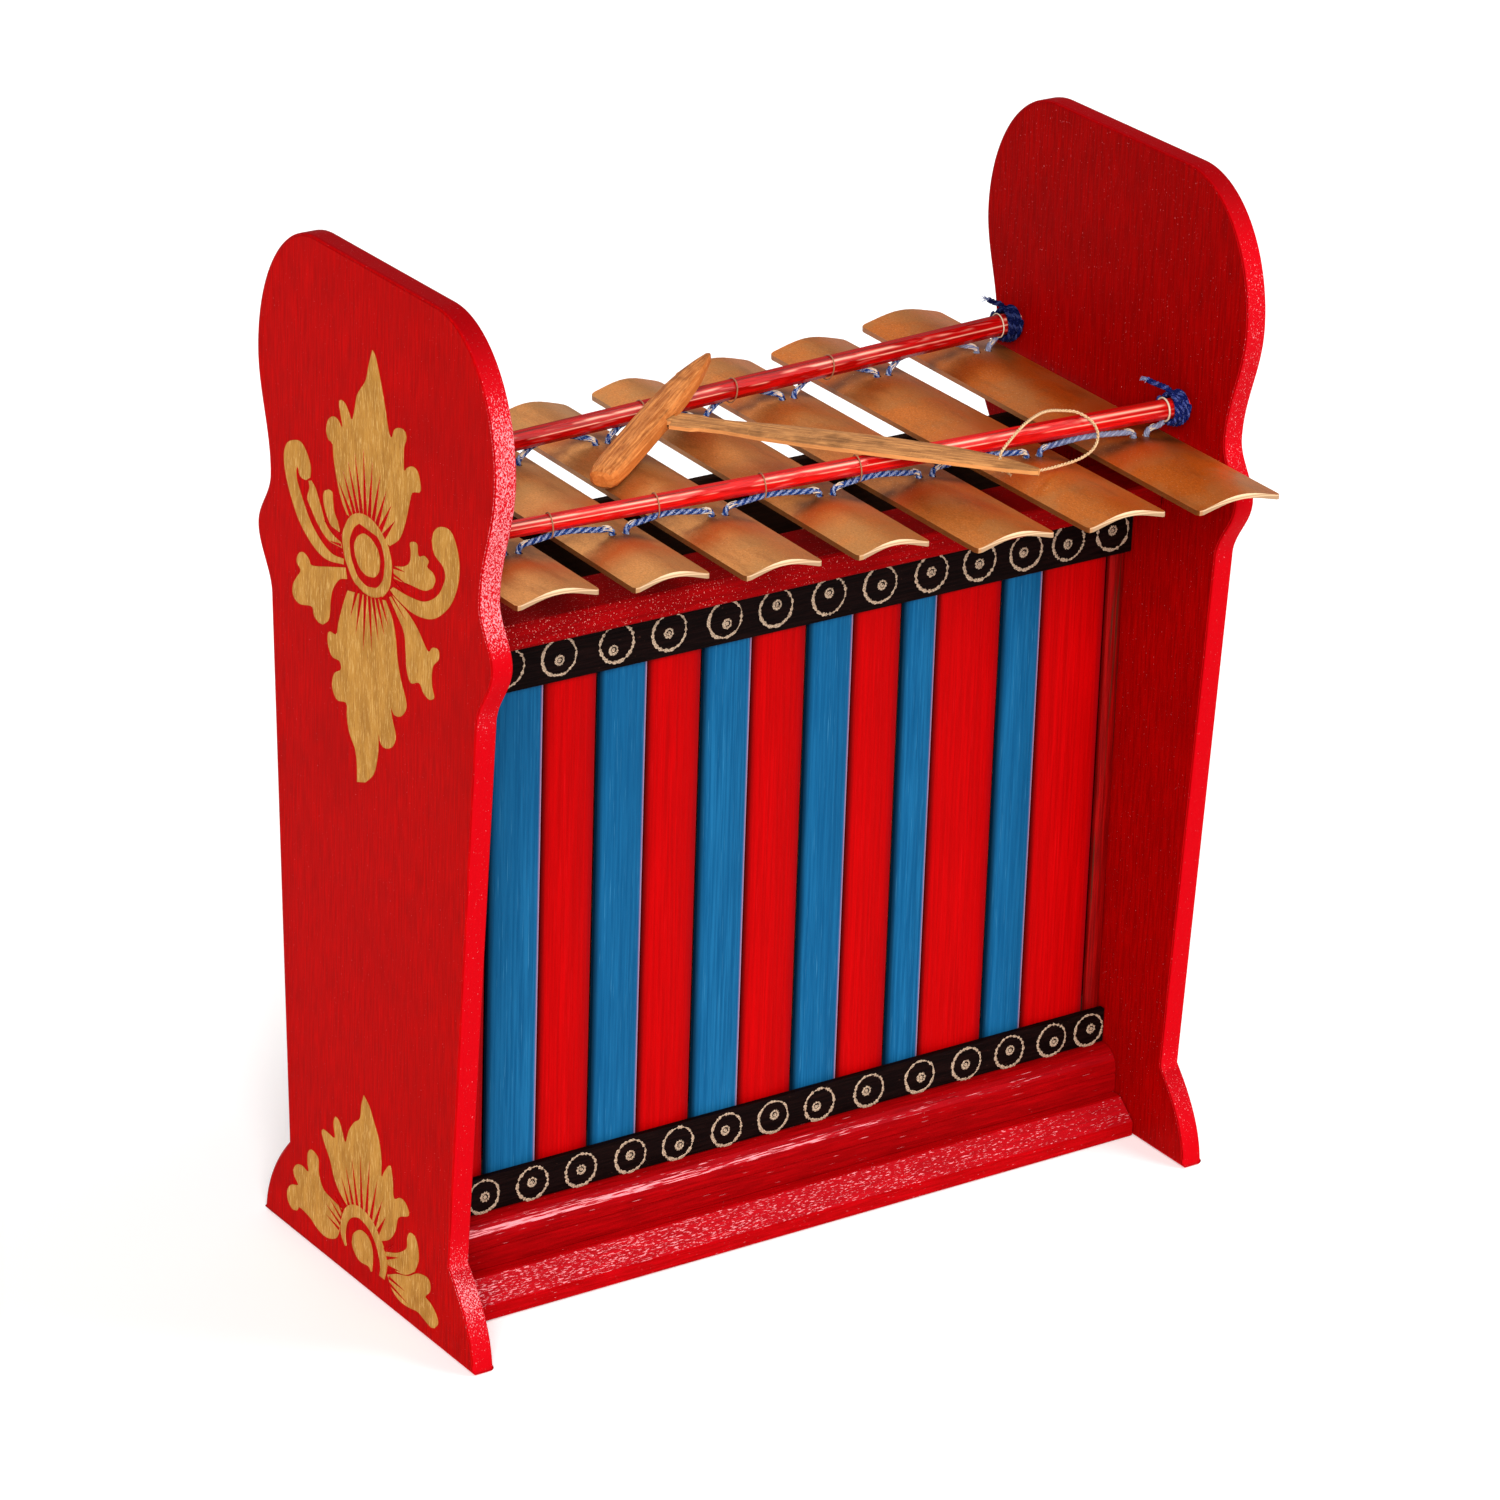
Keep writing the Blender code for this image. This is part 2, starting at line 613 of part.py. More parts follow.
def mallet():
    """The head, blunt in front and pointed behind, and the flat handle let through it."""
    rear_top = ROD_Z + rod_at(REAR_ROD_Y, REAR_ROD_R, 0)[1] + GAP
    joint_z = rear_top + 0.74 * HEAD_HALF_T - HEAD_REST * sin(radians(HEAD_TILT))
    rest_x = MALLET_X + HANDLE_REST * sin(radians(MALLET_TURN))
    front_top = ROD_Z + rod_at(FRONT_ROD_Y, FRONT_ROD_R, rest_x)[1] + GAP
    rise = asin((front_top + HANDLE_T / 2 - joint_z) / HANDLE_REST)
    joint = empty("mallet_joint", (MALLET_X, MALLET_Y, joint_z))
    joint.rotation_euler = (-rise, 0, radians(MALLET_TURN))

    length = HEAD_BUTT + HEAD_TIP
    stations = ((0.0, 0.45, 0.50), (0.012, 0.72, 0.76), (0.045, 0.89, 0.92), (0.12, 0.98, 0.98),
                (0.28, 1.0, 1.0), (0.55, 0.97, 1.0), (0.70, 0.86, 0.92), (0.82, 0.68, 0.80),
                (0.92, 0.42, 0.62), (0.985, 0.20, 0.44), (1.0, 0.10, 0.30))
    rings = [rounded_ring((share * length - HEAD_BUTT, 0, 0), HEAD_HALF_W * wide, HEAD_HALF_T * thick, "X")
             for share, wide, thick in stations]
    head = loft("mallet_head", rings, mallet_wood(), joint)
    head.rotation_euler = (0, -radians(HEAD_TILT), -radians(HEAD_SKEW))
    smooth(head, 0.9)
    slot = bmesh.new()
    bmesh.ops.create_cube(slot, size=1.0)
    bmesh.ops.scale(slot, verts=slot.verts,
                    vec=(2 * (TENON_HALF_W + GAP), 6 * HEAD_HALF_W, HANDLE_T + 2 * GAP))
    cut(head, add_mesh("mortise", slot, mallet_wood(), joint))

    shoulder = HEAD_HALF_W + HANDLE_HALF_W * tan(radians(HEAD_SKEW)) + GAP
    blade = [(-HEAD_HALF_W, 0, TENON_HALF_W), (shoulder - GAP, 0, TENON_HALF_W),
             (shoulder, 0, 0.83 * HANDLE_HALF_W)]
    for along, bend, wide in ((0.108, 0, 0.85), (0.128, 0, 0.68), (0.190, 0, 0.65), (0.283, 0, 0.87),
                              (0.395, 0, 0.98), (0.605, 0, 1.0), (0.763, 0.004, 0.90),
                              (0.882, 0.017, 0.68), (0.928, 0.025, 0.53), (0.980, 0.035, 0.30),
                              (1.0, 0.039, 0.13)):
        blade.append((along * HANDLE_LENGTH, -bend * HANDLE_LENGTH, wide * HANDLE_HALF_W))
    rings = [rounded_ring((shift, -along, 0), wide, HANDLE_T / 2, "Y", 8) for along, shift, wide in blade]
    handle = loft("mallet_handle", rings, mallet_wood(), joint)
    eye_build = bmesh.new()
    bmesh.ops.create_cone(eye_build, cap_ends=True, segments=10, radius1=EYE_R, radius2=EYE_R,
                          depth=4 * HANDLE_T)
    eye = add_mesh("eye", eye_build, mallet_wood(), handle)
    eye.location = (0, -EYE_SHARE * HANDLE_LENGTH, 0)
    cut(handle, eye)
    bpy.context.view_layer.update()
    return eye.matrix_world.translation.copy()


def smooth_route(route, steps):
    """Points of a Catmull-Rom curve through a hand-laid route."""
    ends = [route[0]] + list(route) + [route[-1]]
    points = []
    for before, start, end, after in zip(ends, ends[1:], ends[2:], ends[3:]):
        for step in range(steps):
            t = step / steps
            points.append(tuple(
                0.5 * (2 * b + (c - a) * t + (2 * a - 5 * b + 4 * c - d) * t * t
                       + (3 * b - a - 3 * c + d) * t ** 3)
                for a, b, c, d in zip(before, start, end, after)))
    points.append(tuple(route[-1]))
    return points


def mallet_loop(eye):
    """The twine loop: up through the eye, over the front rod and back under the handle."""
    clear = (HANDLE_T / 2 + GAP + TWINE_R) / LOOP_REACH
    route = [(0, 0, -1.2 * clear), (0, 0, clear), (0.033, 0.020, 1.7 * clear), (0.133, 0.083, 0.077),
             (0.300, 0.183, 0.087), (0.483, 0.300, 0.070), (0.658, 0.408, 0.030), (0.817, 0.475, -0.013),
             (0.933, 0.467, -0.025), (1.0, 0.400, -0.050), (0.992, 0.317, -0.107), (0.917, 0.250, -0.163),
             (0.783, 0.208, -0.195), (0.600, 0.187, -0.205), (0.417, 0.167, -0.197),
             (0.267, 0.133, -0.163), (0.150, 0.083, -0.110), (0.058, 0.030, -0.070)]
    points = [tuple(eye[axis] + step[axis] * LOOP_REACH for axis in range(3)) for step in route]
    tube_along("mallet_loop", smooth_route(points, 3), TWINE_R, twine())


def build():
    clear_scene()
    case = empty("case", (0, CASE_Y, 0))
    end_panels(case)
    base_pieces(case)
    front_wall(case)
    slats(case)
    rear_wall(case)
    resonators(case)
    for index in range(KEY_COUNT):
        key(index)
    suspension()
    mallet_loop(mallet())
    bpy.context.view_layer.update()


build()
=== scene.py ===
import math

import bmesh
import bpy
import numpy as np
from mathutils import Matrix, Vector


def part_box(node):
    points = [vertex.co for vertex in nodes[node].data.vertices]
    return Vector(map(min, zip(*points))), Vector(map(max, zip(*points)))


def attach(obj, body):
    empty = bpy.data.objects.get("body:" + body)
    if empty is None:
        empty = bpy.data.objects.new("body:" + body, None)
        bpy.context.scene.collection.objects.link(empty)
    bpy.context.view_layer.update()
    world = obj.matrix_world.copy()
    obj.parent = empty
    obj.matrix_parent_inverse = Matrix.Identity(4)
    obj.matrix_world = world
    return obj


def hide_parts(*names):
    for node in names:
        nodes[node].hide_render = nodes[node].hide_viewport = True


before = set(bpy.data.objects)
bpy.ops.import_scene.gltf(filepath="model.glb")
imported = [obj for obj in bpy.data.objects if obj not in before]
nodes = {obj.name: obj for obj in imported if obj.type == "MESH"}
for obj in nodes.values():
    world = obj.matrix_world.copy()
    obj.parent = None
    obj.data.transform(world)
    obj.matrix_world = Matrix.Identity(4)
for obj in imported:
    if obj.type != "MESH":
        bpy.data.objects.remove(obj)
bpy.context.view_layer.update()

# The studio: a plain pale floor that runs on to a pale surround, a broad soft light high on
# the left, a fainter one on the right, and the camera at the photograph's angle.
AZIMUTH, ELEVATION, ROLL = (math.radians(turn) for turn in (-34.52, 23.44, 1.90))
across = Vector((math.cos(AZIMUTH), math.sin(AZIMUTH), 0))
behind = Vector((math.sin(AZIMUTH) * math.cos(ELEVATION), -math.cos(AZIMUTH) * math.cos(ELEVATION),
                 math.sin(ELEVATION)))
above = behind.cross(across)
lens = bpy.data.cameras.new("camera")
lens.lens = 151.65
lens.shift_x, lens.shift_y = -0.0006, -0.0029
lens.clip_end = 30
camera = bpy.data.objects.new("camera", lens)
rolled = Matrix((math.cos(ROLL) * across + math.sin(ROLL) * above,
                 math.cos(ROLL) * above - math.sin(ROLL) * across, behind)).transposed()
camera.matrix_world = Matrix.Translation((-1.25729, -1.82290, 1.15032)) @ rolled.to_4x4()
link = bpy.context.collection.objects.link
link(camera)
bpy.context.scene.camera = camera

window = bpy.data.lights.new("window_light", "SUN")
window.energy, window.angle, window.color = 3.7, math.radians(28), (1.0, 0.985, 0.965)
holder = bpy.data.objects.new("window_light", window)
holder.rotation_euler = Vector((-0.47, -0.72, 0.48)).to_track_quat("Z", "Y").to_euler()
link(holder)

AIM = Vector((0, 0, 0.2))
for name, place, size, power, tint in (
        ("top_light", (1.0, -0.58, 1.75), 1.1, 22, (1.0, 0.99, 0.98)),
        ("rear_light", (0.4, 2.0, 1.6), 1.2, 4, (1.0, 1.0, 1.0))):
    lamp = bpy.data.lights.new(name, "AREA")
    lamp.shape = "DISK"
    lamp.size, lamp.energy, lamp.color = size, power, tint
    holder = bpy.data.objects.new(name, lamp)
    holder.location = place
    holder.rotation_euler = (AIM - Vector(place)).to_track_quat("-Z", "Y").to_euler()
    link(holder)

surround = bpy.data.worlds.new("surround")
surround.use_nodes = True
for key, value in (("Color", (1.0, 1.0, 1.0, 1)), ("Strength", 0.38)):
    surround.node_tree.nodes["Background"].inputs[key].default_value = value
bpy.context.scene.world = surround
bpy.context.scene.view_settings.view_transform = "Standard"

FLOOR_HALF, FLOOR_Z = 30, -0.0005
pale = bpy.data.materials.new("pale_floor")
pale.use_nodes = True
for key, value in (("Base Color", (0.93, 0.93, 0.93, 1)), ("Roughness", 0.9), ("Specular IOR Level", 0.0),
                   ("Emission Color", (1.0, 1.0, 1.0, 1)), ("Emission Strength", 0.14)):
    pale.node_tree.nodes["Principled BSDF"].inputs[key].default_value = value
ground = bpy.data.meshes.new("floor")
corners = ((-1, -1), (1, -1), (1, 1), (-1, 1))
ground.from_pydata([(x * FLOOR_HALF, y * FLOOR_HALF, FLOOR_Z) for x, y in corners], [], [(0, 1, 2, 3)])
ground.materials.append(pale)
floor = bpy.data.objects.new("floor", ground)
link(floor)

# End panels: two sawn boards of painted wood with a shaped outline, red over brush marks. The
# paint has worn pale and speckled on the sawn edges, most of all round the head and the foot,
# where the pale speckle is also a painted sparkle. Sawn edges that face up are painted darker,
# as painted shade, and the right panel has darker colours, as painted shade on its inner face.


class Value:
    """A socket of a material. Arithmetic on it adds the Math nodes that work it out."""

    def __init__(self, finish, socket):
        self.finish, self.socket = finish, socket

    def math(self, operation, *values):
        return self.finish.node("ShaderNodeMath", {"operation": operation}, dict(enumerate(values)))

    def __add__(self, other):
        return self.math("ADD", self, other)

    def __sub__(self, other):
        return self.math("SUBTRACT", self, other)

    def __rsub__(self, other):
        return self.math("SUBTRACT", other, self)

    def __mul__(self, other):
        return self.math("MULTIPLY", self, other)

    def __truediv__(self, other):
        return self.math("DIVIDE", self, other)

    __radd__, __rmul__ = __add__, __mul__

    def size(self):
        return self.math("ABSOLUTE", self)

    def hill(self, middle, width):
        """One at the middle, falling smoothly to nothing a few widths away."""
        apart = (self - middle) / width
        return self.math("POWER", math.e, 0 - apart * apart)

    def rise(self, low, high):
        """Nothing below low, one above high and smooth between; the other way round if low is more."""
        return self.finish.node("ShaderNodeMapRange", {"interpolation_type": "SMOOTHSTEP"},
                                {"Value": self, "From Min": low, "From Max": high})


class Finish:
    """A material whose nodes all come from one method, read from the piece's own coordinates."""

    def __init__(self, name, specular=0.5, roughness=0.5, metallic=0.0, coat=0.0):
        self.material = bpy.data.materials.new(name)
        self.material.use_nodes = True
        self.tree = self.material.node_tree
        self.shader = self.tree.nodes["Principled BSDF"]
        for key, value in (("Specular IOR Level", specular), ("Roughness", roughness),
                           ("Metallic", metallic), ("Coat Weight", coat), ("Coat Roughness", 0.12)):
            self.shader.inputs[key].default_value = value
        self.place = self.node("ShaderNodeTexCoord", out="Object")
        self.normal = self.node("ShaderNodeNewGeometry", out="Normal")

    def node(self, kind, settings=None, inputs=None, out=0):
        """Adds one node; an input is a plain value or the socket of another node."""
        made = self.tree.nodes.new(kind)
        for key, value in (settings or {}).items():
            setattr(made, key, value)
        for key, value in (inputs or {}).items():
            if isinstance(value, Value):
                self.tree.links.new(value.socket, made.inputs[key])
            else:
                made.inputs[key].default_value = value
        return Value(self, made.outputs[out])

    def axis(self, vector, letter):
        return self.node("ShaderNodeSeparateXYZ", None, {0: vector}, letter)

    def noise(self, scale, stretch=(1, 1, 1), detail=3.0, roughness=0.55):
        """Noise with about scale features in a metre, divided by stretch along each axis."""
        shrink = tuple(scale / part for part in stretch)
        drawn = self.node("ShaderNodeVectorMath", {"operation": "MULTIPLY"}, {0: self.place, 1: shrink})
        return self.node("ShaderNodeTexNoise", None,
                         {"Vector": drawn, "Scale": 1.0, "Detail": detail, "Roughness": roughness})

    def mix(self, share, first, second):
        """The first colour where the share is nothing, the second where it is one."""
        inputs = {0: share}
        for key, colour in ((6, first), (7, second)):
            inputs[key] = colour if isinstance(colour, Value) else (*colour, 1.0)
        return self.node("ShaderNodeMix", {"data_type": "RGBA"}, inputs, 2)

    def layers(self, colour, *coats):
        """Lays further colours over a first one, each by its own share."""
        for share, tint in coats:
            colour = self.mix(share, colour, tint)
        return colour

    def give(self, **sockets):
        """Links values to the shader's sockets: colour, roughness, metallic or height for a bump."""
        names = {"colour": "Base Color", "roughness": "Roughness", "metallic": "Metallic",
                 "height": "Normal"}
        for key, value in sockets.items():
            if key == "height":
                bump = {"Strength": 0.6, "Distance": 0.0004, "Height": value}
                value = self.node("ShaderNodeBump", None, bump)
            self.tree.links.new(value.socket, self.shader.inputs[names[key]])
        return self.material


def red_lacquer(name, along, deep, bright, flecks, glint_facing=None):
    """Red brushed paint: fine streaks along the grain and pale flecks, partly worn paint and partly
    painted glints where raised grain catches the light. flecks gives how much they cover, how long
    they are and how many larger dots lie among them. glint_facing gives the slope that has the
    painted highlight, how closely a face must keep to it, the lowest height and where it ends to
    the right, fading from the left; without it the flecks lie in patches on a panel's sawn edges,
    which are painted paler where they face sideways and darker where they face up, as painted
    light and shade."""
    paint = Finish(name, 0.01)
    share, long, dots = flecks
    streak = paint.noise(1000, tuple(16 if axis == along else 1 for axis in "XYZ"), 4, 0.65)
    grain = paint.noise(2300, tuple(long if axis == along else 1 for axis in "XYZ"), 2, 0.6)
    cloud, dust = paint.noise(18, detail=2), paint.noise(1500, detail=1)
    colour = paint.layers(deep, (streak.rise(0.3, 0.72), bright), (cloud.rise(0.45, 0.75) * 0.4, deep))
    x, z = paint.axis(paint.place, "X"), paint.axis(paint.place, "Z")
    slant = paint.axis(paint.normal, "Z")
    if glint_facing:
        slope, closeness, low, end = glint_facing
        # A painted highlight: pale flecks on faces near one slope, above a height, fading out to the right.
        worn = slant.hill(slope, closeness) * z.rise(low - 0.0009, low + 0.0009) * x.rise(end, -0.16)
    else:
        # Sawn edges: paler red where they face sideways, darker where they face up, as painted light and
        # shade.
        edge = paint.axis(paint.normal, "X").size().rise(0.9, 0.6)
        rim = paint.mix(slant.rise(0.35, 0.95), (0.48, 0.0006, 0.004), (0.22, 0.0006, 0.002))
        colour = paint.mix(edge * 0.85, colour, rim)
        # Patches round the head, the notch and the foot: worn paint with painted sparkle on it.
        patches = z.rise(0.286, 0.298) * z.rise(0.398, 0.372)
        patches = patches + z.hill(0.262, 0.006) * 0.3 + z.hill(0.028, 0.014)
        worn = edge * (patches + 0.08) * slant.rise(0.35, 0.95).rise(0.9, 0.3)
    # Pale flecks from the grain and the mask above: paint specks and painted glints.
    fleck_and_glint = (grain + worn * share).rise(0.71, 0.78)
    colour = paint.layers(colour, (worn * share, (0.60, 0.025, 0.045)), (fleck_and_glint * 0.85, (0.86, 0.30, 0.33)),
                          ((dust + worn * dots).rise(0.80, 0.83) * (0.5 + dots), (0.80, 0.30, 0.26)))
    return paint.give(colour=colour, roughness=0.42 + streak * 0.18 - fleck_and_glint * 0.1,
                      height=streak * 0.35 + grain * 0.3 + fleck_and_glint * 0.4)


PANEL_T = 0.0088
PANEL_ROUND = 0.0012
PANEL_BACK = 0.0035


def curve_steps(start, end, count):
    """A half cosine wave between two half widths, one height step after another."""
    t = np.arange(1, count + 1) / count
    return np.stack([start[0] + (end[0] - start[0]) * (1 - np.cos(np.pi * t)) / 2,
                     start[1] + (end[1] - start[1]) * t], 1)


def panel_outline():
    """Half widths and heights up the front: foot curve, straight leg, three waves and the
    quarter oval of the head. The back is the same, the other way round."""
    t = np.linspace(0, 1, 20)[:, None]
    toe, sole, ankle = (0.0777, 0), (0.987 * 0.0777, 0.0185), (0.0594, 0.037)
    waist, bump, notch, head = (0.0733, 0.2595), (0.0836, 0.285), (0.0745, 0.3075), (0.0838, 0.355)
    foot = (1 - t) ** 2 * toe + 2 * t * (1 - t) * sole + t * t * ankle
    leg = np.linspace(foot[-1], waist, 24)[1:]
    turn = np.linspace(0, np.pi / 2, 40)[1:]
    wide, high = 0.0418, 0.0545
    oval = np.stack([head[0] - wide + wide * np.cos(turn), head[1] + high * np.sin(turn)], 1)
    half = np.vstack([foot, leg, curve_steps(waist, bump, 20), curve_steps(bump, notch, 20),
                      curve_steps(notch, head, 24), oval])
    return np.vstack([half * (-1, 1), half[::-1]]) + (PANEL_BACK, 0)


def grid_faces(rows, columns, ring=False):
    """Quads between neighbours of a grid of points; a ring's last column meets its first."""
    i, j = np.meshgrid(np.arange(rows - 1), np.arange(columns if ring else columns - 1), indexing="ij")
    here, there = i * columns, (i + 1) * columns
    after = (j + 1) % columns
    return np.stack([here + j, here + after, there + after, there + j], -1).reshape(-1, 4)


def lay(name, points, faces, finish, body, smooth=True):
    """Puts arrays of points and faces into a new piece that rides on a body."""
    mesh = bpy.data.meshes.new(name)
    corners = [list(map(int, face)) for face in faces]
    mesh.from_pydata(np.asarray(points, float).reshape(-1, 3).tolist(), [], corners)
    mesh.materials.append(finish)
    mesh.polygons.foreach_set("use_smooth", np.full(len(mesh.polygons), smooth))
    piece = bpy.data.objects.new(name, mesh)
    link(piece)
    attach(piece, body)
    return piece


def board(x0, x1, outline, rounding):
    """A board of one outline: its rim is the outline carried from face to face while it is
    drawn in along its own normals, by a quarter circle at either edge."""
    ahead = np.roll(outline, -1, 0) - np.roll(outline, 1, 0)
    ahead /= np.linalg.norm(ahead, axis=1, keepdims=True)
    inward = np.stack([ahead[:, 1], -ahead[:, 0]], 1)
    on_leg = 40
    if np.dot(inward[on_leg], outline.mean(0) - outline[on_leg]) < 0:
        inward = -inward
    turn = np.linspace(0, np.pi / 2, 6)
    x = np.concatenate([x0 + rounding * (1 - np.cos(turn)), x1 - rounding * (1 - np.cos(turn[::-1]))])
    near = rounding * np.concatenate([1 - np.sin(turn), 1 - np.sin(turn[::-1])])
    rings = np.empty((len(x), len(outline), 3))
    rings[..., 0] = x[:, None]
    rings[..., 1:] = outline + inward * near[:, None, None]
    count = len(outline)
    caps = [list(range(count)), list(range(len(x) * count - 1, (len(x) - 1) * count - 1, -1))]
    return rings, grid_faces(len(x), count, True).tolist(), caps


panel_paint = red_lacquer("panel_paint", "Z", (0.28, 0.0005, 0.0004), (0.47, 0.0008, 0.0006), (0.20, 2, 0))
# The right panel has darker copies of the panel colours: painted shade on its inner face.
shade_paint = red_lacquer("right_panel_shaded_paint", "Z", (0.21, 0.0002, 0.0002), (0.34, 0.0004, 0.0004),
                          (0.08, 2, 0))
for side_name, x0, paint in (("left", -0.17, panel_paint), ("right", 0.1612, shade_paint)):
    rings, faces, caps = board(x0, x0 + PANEL_T, panel_outline(), PANEL_ROUND)
    panel = lay(f"{side_name}_board", rings, [*faces, *caps], paint, "frame")
    panel.data.polygons.foreach_set("use_smooth", [True] * len(faces) + [False] * 2)
    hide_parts(f"end_panel_{side_name}")

